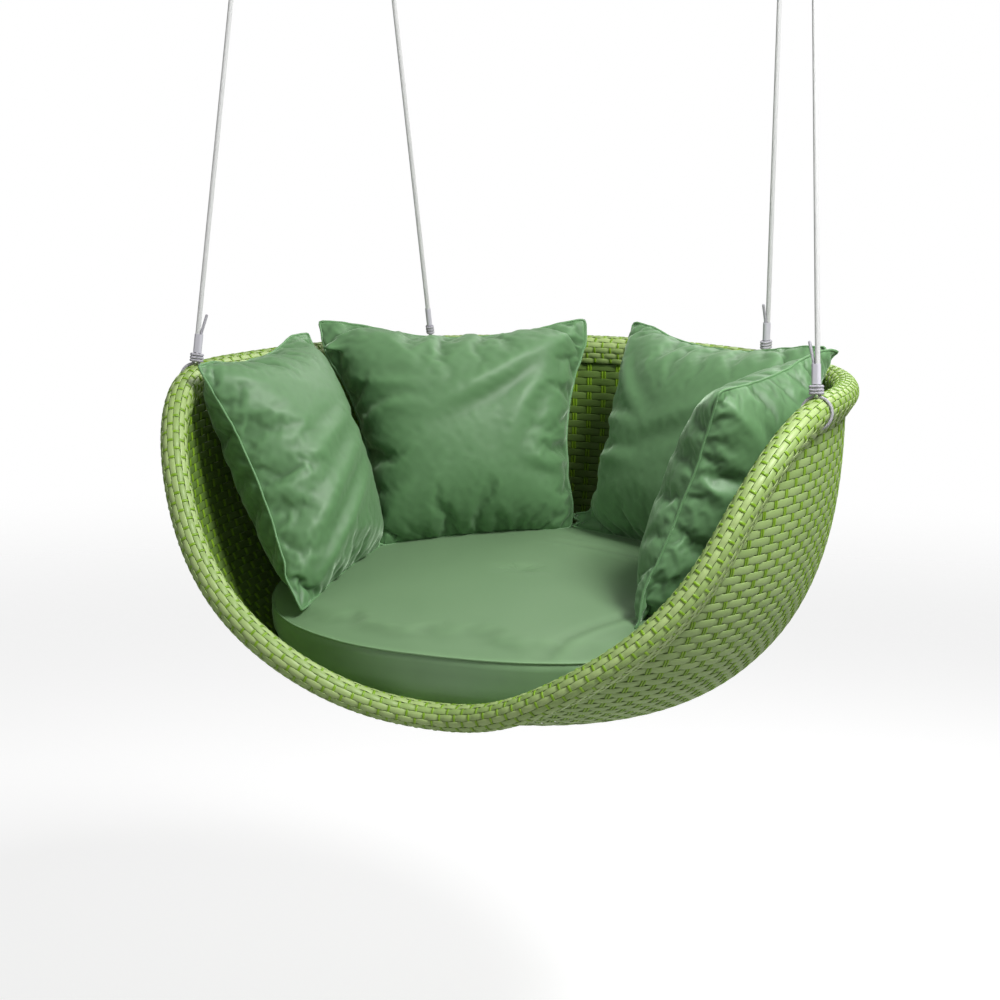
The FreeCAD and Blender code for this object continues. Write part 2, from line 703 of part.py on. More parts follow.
def carabiner_body():
    """Open wire link: from the nose over the top, down the back, and up to the gate's hinge."""
    plane = Plane(Vector(HOOK_X, 0, 0), Y_AXIS, Z_AXIS)
    half, corner = WIRE_HALF_WIDTH, WIRE_CORNER
    top, low = WIRE_TOP_Z, WIRE_TOP_Z - WIRE_HEIGHT
    cut = corner * (1 - math.sqrt(0.5))
    inner = half - corner
    edges = [
        plane.line((-half, GATE_NOSE_Z), (-half, top - corner)),
        plane.arc((-half, top - corner), (-half + cut, top - cut), (-inner, top)),
        plane.line((-inner, top), (inner, top)),
        plane.arc((inner, top), (half - cut, top - cut), (half, top - corner)),
        plane.line((half, top - corner), (half, low + corner)),
        plane.arc((half, low + corner), (half - cut, low + cut), (inner, low)),
        plane.line((inner, low), (-inner, low)),
        plane.arc((-inner, low), (-half + cut, low + cut), (-half, low + corner)),
        plane.line((-half, low + corner), (-half, GATE_PIN_Z)),
    ]
    body = sweep(edges, WIRE_RADIUS)
    pin = Vector(HOOK_X, -half, GATE_PIN_Z)
    head = centred_cylinder(pin, X_AXIS, EAR_ROUND, 2 * WIRE_RADIUS)
    body = body.fuse(head.common(cylinder(pin - Z_AXIS * WIRE_RADIUS, Z_AXIS, WIRE_RADIUS, 3 * WIRE_RADIUS)))
    floor = GATE_PIN_Z - SLOT_FLOOR
    slot = box_between(
        (HOOK_X - SLOT_HALF, -half - 2 * WIRE_RADIUS, floor),
        (HOOK_X + SLOT_HALF, -half + 2 * WIRE_RADIUS, GATE_PIN_Z + 2 * WIRE_RADIUS),
    )
    return body.cut(slot).cut(centred_cylinder(pin, X_AXIS, GATE_PIN_RADIUS, 2 * WIRE_RADIUS))


def carabiner_gate():
    y = -WIRE_HALF_WIDTH
    pin = Vector(HOOK_X, y, GATE_PIN_Z)
    length = GATE_NOSE_Z - GATE_NOSE_GAP - GATE_PIN_Z
    bar = cylinder(pin, Z_AXIS, GATE_RADIUS, length)
    bar = bar.cut(centred_cylinder(pin, X_AXIS, SHOULDER_ROUND, 2 * WIRE_RADIUS))
    tongue = box_between(
        (HOOK_X - TONGUE_HALF, y - GATE_RADIUS + TONGUE_INSET, GATE_PIN_Z),
        (HOOK_X + TONGUE_HALF, y + GATE_RADIUS - TONGUE_INSET, GATE_PIN_Z + 2 * SHOULDER_ROUND),
    )
    foot = centred_cylinder(pin, X_AXIS, GATE_RADIUS - TONGUE_INSET, TONGUE_HALF)
    gate = bar.fuse(tongue).fuse(foot)
    return gate.cut(centred_cylinder(pin, X_AXIS, GATE_PIN_BORE, 2 * WIRE_RADIUS))


def carabiner_pin():
    pin = Vector(HOOK_X, -WIRE_HALF_WIDTH, GATE_PIN_Z)
    return centred_cylinder(pin, X_AXIS, GATE_PIN_RADIUS, GATE_PIN_HALF_LENGTH)


# ---- Seat cushion ----
def seat_sphere(inset):
    """The seat's crowned top, as a large ball that leans forward with the seat."""
    lean = Vector(0, -SEAT_SLOPE, 1).normalize()
    radius = (SEAT_HALF_WIDTH ** 2 + SEAT_CROWN ** 2) / (2 * SEAT_CROWN)
    crown = Vector(0, SEAT_CENTRE_Y, SEAT_SEAM_Z + SEAT_CROWN)
    return crown - lean * radius, radius - inset


def seat_top(x, y):
    centre, radius = seat_sphere(0)
    return centre.z + math.sqrt(radius ** 2 - (x - centre.x) ** 2 - (y - centre.y) ** 2)


def seat_form(inset):
    centre, radius = seat_sphere(inset)
    outline = plan_wire(
        SEAT_HALF_WIDTH - inset, SEAT_HALF_DEPTH - inset, -BOWL_DROP, SEAT_POWER, SEAT_CENTRE_Y
    )
    column = Part.Face(outline).extrude(Vector(0, 0, BOWL_DROP))
    form = bowl(INNER_SKIN_DEPTH + SKIN + SEAT_WALL_GAP + inset).common(column)
    form = form.common(Part.makeSphere(radius, centre))
    roll = rim_pipe(ROLL_RADIUS + SEAT_ROLL_GAP + inset)
    return form.cut(roll).cut(mirrored(roll))


def seat_piping():
    """The cord sewn round the seat's upper edge."""
    out = PIPING_RADIUS + FILL_GAP
    width, depth = SEAT_HALF_WIDTH + out, SEAT_HALF_DEPTH + out
    points = []
    for i in range(-PIPING_RUN_OUT, PIPING_STEPS + PIPING_RUN_OUT + 1):
        angle = math.pi * i / PIPING_STEPS
        factor = plan_factor(angle, SEAT_POWER)
        x = width * factor * math.sin(angle)
        y = SEAT_CENTRE_Y - depth * factor * math.cos(angle)
        points.append(Vector(x, y, seat_top(x, y)))
    curve = Part.BSplineCurve()
    curve.interpolate(points)
    ends = (points[PIPING_RUN_OUT], points[PIPING_RUN_OUT + PIPING_STEPS])
    curve.segment(curve.parameter(ends[0]), curve.parameter(ends[1]))
    return both_sides(sweep([curve.toShape()], PIPING_RADIUS))


# ---- Scatter pillows ----
def pillow(corners, inset):
    """A square pillow between four corners, thickest in the middle, drawn in by inset."""
    top_left, top_right, low_left, low_right = [Vector(*corner) for corner in corners]
    normal = (top_right - top_left).cross(low_left - top_left).normalize()
    middle = (top_left + top_right + low_left + low_right) * 0.25
    span = (top_right - top_left).Length
    shrink = 1 - PILLOW_SHRINK * inset / span
    half = PILLOW_HALF_THICKNESS - inset
    steps = [i / PILLOW_STEPS for i in range(PILLOW_STEPS + 1)]
    sheets = []
    for side in (-1, 1):
        rows = []
        for v in steps:
            row = []
            for u in steps:
                top = top_left * (1 - u) + top_right * u
                low = low_left * (1 - u) + low_right * u
                flat = top * (1 - v) + low * v
                swell = (16 * u * (1 - u) * v * (1 - v)) ** PILLOW_POWER
                row.append(middle + (flat - middle) * shrink + normal * (side * half * swell))
            rows.append(row)
        surface = Part.BSplineSurface()
        surface.interpolate(rows)
        sheets.append(surface.toShape())
    shell = Part.makeShell(sheets)
    shell.sewShape()
    solid = Part.Solid(shell)
    if solid.Volume < 0:
        solid.reverse()
    return solid


def build():
    os.makedirs("parts", exist_ok=True)
    layer = bar_layer()
    slots = rope_slots()
    trim = above_rim(ROLL_RADIUS + ROLL_GAP)
    nest = {
        "shell_outer_weave": skin(0, trim, slots),
        "shell_inner_weave": skin(INNER_SKIN_DEPTH, trim, slots),
        "rim_wrap": rim_wrap(),
        "rim_tube": rim_tube(),
        "frame_ribs": frame_ribs(layer),
        "mid_hoop": mid_hoop(layer),
        "base_ring": base_ring(),
        "base_slats": base_slats(),
        "seat_cover": seat_form(0).cut(seat_form(COVER_WALL)),
        "seat_foam_core": seat_form(COVER_WALL + FILL_GAP),
        "seat_piping": seat_piping(),
    }
    for (side, place), tail in TAIL_SIDES.items():
        for make in (rope, tie_cord, lower_sleeve, upper_sleeve, thimble):
            nest[f"{make.__name__}_{place}_{side}"] = placed(make(place, tail), side)
    for name, corners in PILLOW_CORNERS.items():
        cover = pillow(corners, 0).cut(pillow(corners, COVER_WALL))
        nest[f"pillow_cover_{name}"] = cover
        nest[f"pillow_insert_{name}"] = pillow(corners, COVER_WALL + FILL_GAP)
    for name, shape in nest.items():
        save(name, hung(shape))
    fasteners = (hanger_bracket, pivot_bolt, pivot_nut, pivot_washers, pivot_bush)
    clips = (hanger_link, carabiner_body, carabiner_gate, carabiner_pin)
    for make in fasteners + clips:
        shape = make()
        for side in SIDES:
            save(f"{make.__name__}_{side}", placed(shape, side))


build()
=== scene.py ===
"""The looks of a woven hanging nest: weave, cushions, materials, light and camera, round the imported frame."""
import json
import math

import bpy
import numpy as np
from mathutils import Matrix, Vector
from mathutils.bvhtree import BVHTree


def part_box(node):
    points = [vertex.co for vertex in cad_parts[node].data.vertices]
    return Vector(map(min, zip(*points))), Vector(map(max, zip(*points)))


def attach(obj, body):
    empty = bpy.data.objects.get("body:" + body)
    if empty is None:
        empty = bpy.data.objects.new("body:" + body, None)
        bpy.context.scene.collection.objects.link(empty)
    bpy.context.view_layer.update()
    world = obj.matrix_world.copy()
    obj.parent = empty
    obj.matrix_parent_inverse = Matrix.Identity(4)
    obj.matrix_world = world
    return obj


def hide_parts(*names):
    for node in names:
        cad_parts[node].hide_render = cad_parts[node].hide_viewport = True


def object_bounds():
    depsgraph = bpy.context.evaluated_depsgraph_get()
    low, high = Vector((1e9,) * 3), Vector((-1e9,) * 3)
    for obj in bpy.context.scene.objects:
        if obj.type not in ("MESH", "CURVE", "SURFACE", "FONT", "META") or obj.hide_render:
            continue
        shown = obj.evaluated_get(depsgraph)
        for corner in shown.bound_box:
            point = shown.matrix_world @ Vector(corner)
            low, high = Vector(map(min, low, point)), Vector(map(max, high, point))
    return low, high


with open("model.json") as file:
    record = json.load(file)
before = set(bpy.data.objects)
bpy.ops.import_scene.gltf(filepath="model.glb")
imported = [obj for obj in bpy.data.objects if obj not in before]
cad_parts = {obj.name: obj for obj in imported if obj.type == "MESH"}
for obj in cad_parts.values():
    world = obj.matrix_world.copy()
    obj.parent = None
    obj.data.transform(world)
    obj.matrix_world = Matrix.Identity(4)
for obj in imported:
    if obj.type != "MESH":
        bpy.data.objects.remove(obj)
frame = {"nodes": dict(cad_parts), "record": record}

CAD_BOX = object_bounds()

# ---- Bowl, in metres ----
HALF_WIDTH = 0.625
HALF_DEPTH = 0.557
BOWL_DROP = 0.600
PLAN_POWER = 2.345
WALL_DROP_POWER = 2.586
WALL_WIDTH_POWER = 3.63
# Depth of the rim under its level part, by the angle round the plan from the front.
RIM_DROPS = (
    (0, 0.555), (15, 0.537), (30, 0.464), (40, 0.388), (50, 0.272), (57.5, 0.148), (65, 0.064),
    (72.5, 0.020), (80, 0.003), (95, 0.0), (125, 0.0), (160, -0.006), (180, -0.010),
)
ROLL_RADIUS = 0.0244
OUTER_INSET = 0.0014
INNER_INSET = 0.0136
WALL_SAMPLES = 4000
RIM_SAMPLES = 2000

# ---- Straps, in metres ----
ROW_PITCH = 0.0155
ROW_WIDTH = 0.0151
ROW_THICK = 0.0010
STAKES = 120
STAKE_PAIR_GAP = 0.0052
STAKE_WIDTH = 0.0046
STAKE_THICK = 0.0022
WEAVE_SWING = 0.0009
STAKE_SWING = 0.0007
EYE_RADIUS = 0.008
RIM_ROW_PITCH = 0.0110
RIM_ROW_WIDTH = 0.0107
RIM_ROW_THICK = 0.0012
HOOP_PITCH = 0.0175
HOOP_WIDTH = 0.0050
HOOP_THICK = 0.0012
RIM_SWING = 0.0007
FAIRING_OUT = 0.038
FAIRING_IN = 0.032
# How far the fairings' ends lie from the rim's centre line, outward.
FAIRING_OUT_REACH = 0.0035
FAIRING_IN_REACH = -0.0185
UNDERLAY_INSET = 0.0028
# Room kept under the rim's centre line by the rows and by the stakes.
ROW_CLEARANCE = 0.006
STAKE_CLEARANCE = 0.004
TINT_SEEDS = {"rows": 11, "stakes": 12, "roll": 13}

# ---- How the nest hangs: its own frame has Z = 0 at the level part of the rim ----
HOOK_Y = 0.179
ROPE_RISE = 2.105
CLIP_WIRE_RADIUS = 0.0045
NEST_PITCH_DEG = 1.87
HOOK_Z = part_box("carabiner_body_right")[0].z + CLIP_WIRE_RADIUS
NEST = (
    Matrix.Translation((0, 0, HOOK_Z))
    @ Matrix.Rotation(math.radians(NEST_PITCH_DEG), 4, "X")
    @ Matrix.Translation((0, -HOOK_Y, -ROPE_RISE))
)

# ---- Cushions, in metres, in the nest's frame ----
SEAT_HALF_WIDTH = 0.500
SEAT_HALF_DEPTH = 0.397
SEAT_CENTRE_Y = 0.057
SEAT_POWER = 2.2
SEAT_SEAM_Z = -0.400
SEAT_SLOPE = 0.12
SEAT_CROWN = 0.028
PILLOW_THICKNESS = 0.164
# Corners of each pillow: top left, top right, bottom left and bottom right of its face.
PILLOW_CORNERS = {
    "left": (
        (-0.562, -0.191, 0.032), (-0.529, 0.205, 0.054),
        (-0.336, -0.220, -0.408), (-0.345, 0.150, -0.345),
    ),
    "centre": (
        (-0.532, 0.262, 0.076), (-0.020, 0.480, 0.078),
        (-0.350, 0.150, -0.345), (0.000, 0.345, -0.325),
    ),
    "back": (
        (0.090, 0.470, 0.077), (0.544, 0.262, 0.068),
        (0.035, 0.335, -0.325), (0.395, 0.215, -0.335),
    ),
    "right": (
        (0.450, -0.125, 0.025), (0.586, 0.205, 0.065),
        (0.312, -0.165, -0.405), (0.385, 0.150, -0.350),
    ),
}

# ---- Camera, in the nest's frame ----
CAMERA_AZIMUTH = 22.012
CAMERA_ELEVATION = 10.817
CAMERA_PLACE = Vector((1.48836, -3.72726, 0.54541))
CAMERA_LENS = 76.886
SENSOR = 36.0


# ---- Bowl surface ----
def plan_factor(theta):
    return (np.abs(np.sin(theta)) ** PLAN_POWER + np.abs(np.cos(theta)) ** PLAN_POWER) ** (-1 / PLAN_POWER)


def profile(phi):
    share = np.cos(phi) ** (2 / WALL_WIDTH_POWER)
    height = -BOWL_DROP * np.sin(phi) ** (2 / WALL_DROP_POWER)
    return share, height


def profile_table():
    """Share of the plan, height and outward direction down the wall, against the length down the wall."""
    margin = 1e-5
    phi = np.linspace(margin, math.pi / 2 - margin, WALL_SAMPLES)
    share, height = profile(phi)
    radius = share * (HALF_WIDTH + HALF_DEPTH) / 2
    run, fall = np.gradient(radius), np.gradient(height)
    size = np.hypot(run, fall)
    length = np.concatenate([[0], np.cumsum(np.hypot(np.diff(radius), np.diff(height)))])
    return length, share, height, -fall / size, run / size


WALL_LENGTH, WALL_SHARE, WALL_HEIGHT, WALL_OUT, WALL_DOWN = profile_table()


def wall_surface(theta, down, lift):
    """Points of the wall at angle theta and length down the profile, lifted outward from the outer face."""
    share = np.interp(down, WALL_LENGTH, WALL_SHARE)
    height = np.interp(down, WALL_LENGTH, WALL_HEIGHT)
    out = np.interp(down, WALL_LENGTH, WALL_OUT)
    slope = np.interp(down, WALL_LENGTH, WALL_DOWN)
    factor = plan_factor(theta)
    width = HALF_WIDTH * share + lift * out
    depth = HALF_DEPTH * share + lift * out
    z = height + lift * slope
    return np.stack([width * factor * np.sin(theta), -depth * factor * np.cos(theta), z], -1)


def bowl_level(points):
    """1 on the bowl's outer face, less inside it and more outside it."""
    x, y, z = points[..., 0], points[..., 1], points[..., 2]
    plan = np.abs(x / HALF_WIDTH) ** PLAN_POWER + np.abs(y / HALF_DEPTH) ** PLAN_POWER
    drop = np.maximum(-z, 0) / BOWL_DROP
    return plan ** (WALL_WIDTH_POWER / PLAN_POWER) + drop ** WALL_DROP_POWER


def bowl_gradient(points):
    step = 1e-4
    slopes = []
    for axis in np.eye(3) * step:
        slopes.append((bowl_level(points + axis) - bowl_level(points - axis)) / (2 * step))
    gradient = np.stack(slopes, -1)
    size = np.linalg.norm(gradient, axis=-1, keepdims=True)
    return gradient / size, size[..., 0]


def onto_wall(points, rounds=4):
    for _ in range(rounds):
        outward, slope = bowl_gradient(points)
        points = points - outward * ((bowl_level(points) - 1) / slope)[..., None]
    return points


# ---- Rim curve ----
def natural_spline(knots, values, at):
    """Natural cubic spline through values (n, 3) at knots, read at the parameters at."""
    count = len(knots)
    gaps = np.diff(knots)
    matrix, right = np.eye(count), np.zeros((count, 3))
    for i in range(1, count - 1):
        matrix[i, i - 1:i + 2] = gaps[i - 1], 2 * (gaps[i - 1] + gaps[i]), gaps[i]
        right[i] = 6 * ((values[i + 1] - values[i]) / gaps[i] - (values[i] - values[i - 1]) / gaps[i - 1])
    bend = np.linalg.solve(matrix, right)
    i = np.clip(np.searchsorted(knots, at) - 1, 0, count - 2)
    a = ((knots[i + 1] - at) / gaps[i])[:, None]
    b = 1 - a
    lines = a * values[i] + b * values[i + 1]
    return lines + ((a ** 3 - a) * bend[i] + (b ** 3 - b) * bend[i + 1]) * (gaps[i] ** 2)[:, None] / 6


def rim_loop():
    """Closed centre line of the rim from the front centre round by +X, with its running length."""
    before = [(-angle, drop) for angle, drop in RIM_DROPS[4:0:-1]]
    after = [(360 - angle, drop) for angle, drop in RIM_DROPS[-2:-6:-1]]
    table = np.array(before + list(RIM_DROPS) + after)
    theta, drop = np.radians(table[:, 0]), table[:, 1]
    fallen = (np.maximum(drop, 0) / BOWL_DROP) ** WALL_DROP_POWER
    reach = (1 - fallen) ** (1 / WALL_WIDTH_POWER) * plan_factor(theta)
    points = np.stack([HALF_WIDTH * reach * np.sin(theta), -HALF_DEPTH * reach * np.cos(theta), -drop], -1)
    knots = np.concatenate([[0], np.cumsum(np.linalg.norm(np.diff(points, axis=0), axis=1))])
    at = np.linspace(knots[len(before)], knots[len(before) + len(RIM_DROPS) - 1], RIM_SAMPLES)
    half = natural_spline(knots, points, at)
    loop = np.concatenate([half, half[-2:0:-1] * (-1, 1, 1), half[:1]])
    length = np.concatenate([[0], np.cumsum(np.linalg.norm(np.diff(loop, axis=0), axis=1))])
    return loop, length


RIM_LOOP, RIM_LENGTH = rim_loop()
RIM_TOTAL = RIM_LENGTH[-1]


def rim_point(along):
    along = np.mod(along, RIM_TOTAL)
    return np.stack([np.interp(along, RIM_LENGTH, RIM_LOOP[:, axis]) for axis in range(3)], -1)


def rim_frame(along):
    """Centre, outward and down-the-wall directions, and how far the wall falls away below, along the rim."""
    step = 0.004
    centre = rim_point(along)
    tangent = rim_point(along + step) - rim_point(along - step)
    tangent /= np.linalg.norm(tangent, axis=-1, keepdims=True)
    outward = bowl_gradient(centre)[0]
    outward -= tangent * (outward * tangent).sum(-1, keepdims=True)
    outward /= np.linalg.norm(outward, axis=-1, keepdims=True)
    down = np.cross(tangent, outward)
    below = centre + down * FAIRING_OUT
    fall = ((onto_wall(below) - below) * outward).sum(-1)
    return centre, outward, down, fall


def rim_depth(theta):
    """Height of the rim's centre line at a plan angle."""
    half = RIM_LOOP[:RIM_SAMPLES]
    angle = np.arctan2(half[:, 0] / HALF_WIDTH, -half[:, 1] / HALF_DEPTH)
    turn = np.abs((theta + math.pi) % (2 * math.pi) - math.pi)
    return np.interp(turn, angle, half[:, 2])


def roll_profile():
    """Outline of the roll's section: up from the outer wall, round the roll and down onto the inner wall.

    Each point is (outward, down the wall), and the outline starts and ends flat on a wall.
    """
    def tangent_angle(out, down, side):
        return math.atan2(-down, out) + side * math.acos(ROLL_RADIUS / math.hypot(out, down))

    outer = (FAIRING_OUT_REACH, FAIRING_OUT)
    inner = (FAIRING_IN_REACH, FAIRING_IN)
    start = tangent_angle(*outer, 1)
    end = tangent_angle(*inner, -1) + 2 * math.pi
    angles = np.linspace(start, end, 60)
    arc = np.stack([ROLL_RADIUS * np.cos(angles), -ROLL_RADIUS * np.sin(angles)], -1)
    lines = [np.linspace(outer, arc[0], 8)[:-1], arc, np.linspace(arc[-1], inner, 8)[1:]]
    points = np.concatenate(lines)
    length = np.concatenate([[0], np.cumsum(np.linalg.norm(np.diff(points, axis=0), axis=1))])
    return points, length


ROLL_OUTLINE, ROLL_LENGTH = roll_profile()


def roll_surface(along, round_roll, lift):
    """Points of the roll's skin at a length along the rim and a length round its outline, lifted outward."""
    centre, outward, down, fall = rim_frame(along)
    out = np.interp(round_roll, ROLL_LENGTH, ROLL_OUTLINE[:, 0])
    low = np.interp(round_roll, ROLL_LENGTH, ROLL_OUTLINE[:, 1])
    step = 0.0015
    run = np.interp(round_roll + step, ROLL_LENGTH, ROLL_OUTLINE[:, 0])
    run -= np.interp(round_roll - step, ROLL_LENGTH, ROLL_OUTLINE[:, 0])
    rise = np.interp(round_roll + step, ROLL_LENGTH, ROLL_OUTLINE[:, 1])
    rise -= np.interp(round_roll - step, ROLL_LENGTH, ROLL_OUTLINE[:, 1])
    size = np.maximum(np.hypot(run, rise), 1e-9)
    out = out - rise / size * lift + fall * (np.maximum(low, 0) / FAIRING_OUT) ** 2
    low = low + run / size * lift
    return centre + outward * out[..., None] + down * low[..., None]


# ---- Mesh building ----
class Strands:
    """Gathers closed strands of quads, each a run of rings, into one mesh with a tint for each strand."""

    def __init__(self):
        self.points, self.faces, self.tints, self.count = [], [], [], 0

    def add(self, rings, tint, closed=False):
        runs, sides = rings.shape[:2]
        index = self.count + np.arange(runs * sides).reshape(runs, sides)
        following = np.roll(index, -1, 1)
        if closed:
            low, high = index, np.roll(index, -1, 0)
            low_next, high_next = following, np.roll(following, -1, 0)
        else:
            low, high = index[:-1], index[1:]
            low_next, high_next = following[:-1], following[1:]
            self.faces.append(index[0][::-1].tolist())
            self.faces.append(index[-1].tolist())
        self.faces.extend(np.stack([low, low_next, high_next, high], -1).reshape(-1, 4).tolist())
        self.points.append(rings.reshape(-1, 3))
        self.tints.append(np.full(runs * sides, tint))
        self.count += runs * sides

    def build(self, name, material, body, slot):
        mesh = bpy.data.meshes.new(name)
        mesh.from_pydata(np.concatenate(self.points).tolist(), [], self.faces)
        mesh.attributes.new("tint", "FLOAT", "POINT").data.foreach_set("value", np.concatenate(self.tints))
        mesh.polygons.foreach_set("use_smooth", np.ones(len(mesh.polygons), bool))
        return finish_piece(name, mesh, material, body)


def finish_piece(name, mesh, material, body):
    """Makes a mesh drawn in the nest's frame into a piece in its place, on its body."""
    mesh.validate()
    piece = bpy.data.objects.new(name, mesh)
    bpy.context.scene.collection.objects.link(piece)
    mesh.materials.append(material)
    piece.matrix_world = NEST
    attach(piece, body)
    return piece


def strap_section(width, thick):
    """Section of a flat strap as (across, lift): flat faces with turned-down edges."""
    half, edge, rise = width / 2, width * 0.08, thick / 2
    return np.array([
        (-half, -rise * 0.2), (-half + edge, rise), (half - edge, rise),
        (half, -rise * 0.2), (half - edge, -rise), (-half + edge, -rise),
    ])


def cord_section(width, thick):
    """Section of a flattened round strand as (across, lift)."""
    turn = np.radians(np.arange(6) * 60.0)
    return np.stack([-width / 2 * np.cos(turn), thick / 2 * np.sin(turn)], -1)


def spread(values, section):
    """Values along a strand, repeated over the points of its section."""
    return values[:, None] + np.zeros(len(section))


def lifted(lift, section):
    """Lift of each point of a strand: that of its middle line and that of its section."""
    return lift[:, None] + section[None, :, 1]


def flat_wave(phase):
    """A cosine with broad flat tops, from -1 to 1."""
    wave = np.cos(phase)
    return wave * np.sqrt(1.25 / (wave ** 2 + 0.25))


# ---- Woven wall ----
# Inside each share of the plan, only every so many of the rim's stakes go on.
STAKE_STEPS = ((0.62, 2), (0.31, 4), (0.10, 12))


def stake_step(down):
    """How many of the rim's stakes share one stake at this length down the wall: they thin out inwards."""
    share = np.interp(down, WALL_LENGTH, WALL_SHARE)
    step = np.ones(np.shape(share), int)
    for edge, number in STAKE_STEPS:
        step = np.where(share > edge, step, number)
    return step


def wall_rows(first):
    """Middle of each row, as a length down the wall, from the first one (in rows) to the eye of the base."""
    last = np.interp(-EYE_RADIUS / HALF_WIDTH, -WALL_SHARE, WALL_LENGTH)
    return np.arange(first * ROW_PITCH, last, ROW_PITCH)


def weave_rows(rows, inset, numbers, samples):
    """The wide flat rows that run level round the nest, over and under its stakes."""
    strands = Strands()
    section = strap_section(ROW_WIDTH, ROW_THICK)
    random = np.random.default_rng(TINT_SEEDS["rows"])
    grid = np.linspace(0, 2 * math.pi, 4001)
    open_height = rim_depth(grid)
    for number in numbers:
        down = rows[number]
        height = np.interp(down, WALL_LENGTH, WALL_HEIGHT)
        step = int(stake_step(down))
        stakes = STAKES // step
        inside = open_height > height + ROW_CLEARANCE
        closed = bool(inside.all())
        first = 0.0 if closed else grid[np.argmax(inside)]
        span = 2 * math.pi - 2 * first
        count = max(8, int(round(stakes * samples * span / (2 * math.pi))))
        theta = first + span * np.arange(count + (0 if closed else 1)) / count
        lift = -inset + WEAVE_SWING * flat_wave(stakes * theta / 2 + math.pi * number)
        rings = wall_surface(spread(theta, section), down + section[None, :, 0], lifted(lift, section))
        strands.add(rings, random.uniform(), closed)
    return strands


def weave_stakes(rows, inset, halves, samples):
    """The upright pairs of strands, from the rim down to where each one ends."""
    strands = Strands()
    section = cord_section(STAKE_WIDTH, STAKE_THICK)
    random = np.random.default_rng(TINT_SEEDS["stakes"])
    downs = np.arange(0, rows[-1] + ROW_PITCH / 2, ROW_PITCH / samples)
    for number in halves:
        theta = 2 * math.pi * number / STAKES
        under_rim = np.interp(downs, WALL_LENGTH, WALL_HEIGHT) < rim_depth(theta) - STAKE_CLEARANCE
        run = downs[(number % stake_step(downs) == 0) & under_rim]
        if len(run) < 2:
            continue
        share = np.interp(run, WALL_LENGTH, WALL_SHARE)
        reach = np.hypot(HALF_WIDTH * np.sin(theta), HALF_DEPTH * np.cos(theta)) * plan_factor(theta) * share
        order = number // stake_step(run)
        lift = -inset - STAKE_SWING * flat_wave(math.pi * ((run - rows[0]) / ROW_PITCH + order))
        for side in (-1, 1):
            across = side * STAKE_PAIR_GAP / 2 + section[None, :, 0]
            turned = theta + across / reach[:, None]
            rings = wall_surface(turned, spread(run, section), lifted(lift, section))
            strands.add(rings, random.uniform())
    return strands


def build_wall(materials):
    halves = {"right": range(STAKES // 2), "left": range(STAKES // 2, STAKES)}
    # The inner face's rows use a darker copy of the strap colour: painted shade for the inside of the bowl.
    faces = (("outer", OUTER_INSET, 0.5, "row"), ("inner", INNER_INSET, 1.0, "inner_row_painted_shade"))
    for face, inset, first, finish in faces:
        rows = wall_rows(first)
        middle = len(rows) // 2
        bands = {"upper": range(middle), "lower": range(middle, len(rows))}
        for band, numbers in bands.items():
            strands = weave_rows(rows, inset, numbers, 6)
            piece = strands.build(f"{face}_rows_{band}", materials[finish], "nest", "woven_strap")
            if band == "upper":
                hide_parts(f"shell_{face}_weave")
        for half, numbers in halves.items():
            strands = weave_stakes(rows, inset, numbers, 3)
            strands.build(f"{face}_stakes_{half}", materials["stake"], "nest", "woven_strap")


def build_roll(materials):
    """The strap roll round the rim: rows along it, hoops round it, and the dark layer under them."""
    hoops = int(round(RIM_TOTAL / HOOP_PITCH / 2)) * 2
    pitch = RIM_TOTAL / hoops
    total = ROLL_LENGTH[-1]
    count = int(total / RIM_ROW_PITCH)
    samples = 5
    along = np.arange(hoops * samples) * pitch / samples
    random = np.random.default_rng(TINT_SEEDS["roll"])
    rows, bands, core = Strands(), Strands(), Strands()
    section = strap_section(RIM_ROW_WIDTH * total / (count * RIM_ROW_PITCH), RIM_ROW_THICK)
    for number in range(count):
        middle = (number + 0.5) * total / count
        lift = RIM_SWING * flat_wave(math.pi * (along / pitch + number))
        rings = roll_surface(spread(along, section), middle + section[None, :, 0], lifted(lift, section))
        rows.add(rings, random.uniform(), closed=True)
    section = strap_section(HOOP_WIDTH, HOOP_THICK)
    hoop_end = 0.002
    round_roll = np.linspace(hoop_end, total - hoop_end, count * 4 + 1)
    for number in range(hoops):
        lift = -RIM_SWING * flat_wave(math.pi * (round_roll / total * count - 0.5 + number))
        place = number * pitch + section[None, :, 0]
        rings = roll_surface(place, spread(round_roll, section), lifted(lift, section))
        bands.add(rings, random.uniform())
    sides, steps = 16, 600
    turn = np.radians(np.arange(sides) * 360 / sides)
    centre, outward, down, _ = rim_frame(np.arange(steps) * RIM_TOTAL / steps)
    radius = ROLL_RADIUS - UNDERLAY_INSET
    ring = outward[:, None] * np.cos(turn)[None, :, None] - down[:, None] * np.sin(turn)[None, :, None]
    core.add(centre[:, None] + radius * ring, 0.5, closed=True)
    piece = rows.build("rim_rows", materials["rim_row"], "nest", "rim_strap")
    bands.build("rim_hoops", materials["stake"], "nest", "rim_strap")
    core.build("rim_underlay", materials["underlay"], "nest", "rim_strap")
    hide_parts("rim_wrap")


# ---- Keeping soft pieces clear of their neighbours, in metres ----
WALL_FADE = 0.03
LEAST_SLOPE = 0.2
ROPE_GAP = 0.014
ROPE_REACH = 0.070
ROPE_END = 0.02
NEST_MIDDLE = (0, 0.10)
# A pillow rides on the seat, so its highest lift is the seat's and its own together.
LIFT_TOTAL = 0.60
LIFT_STEPS = 25
PROBE_REACH = 0.08
PROBE_DEPTH = 0.06


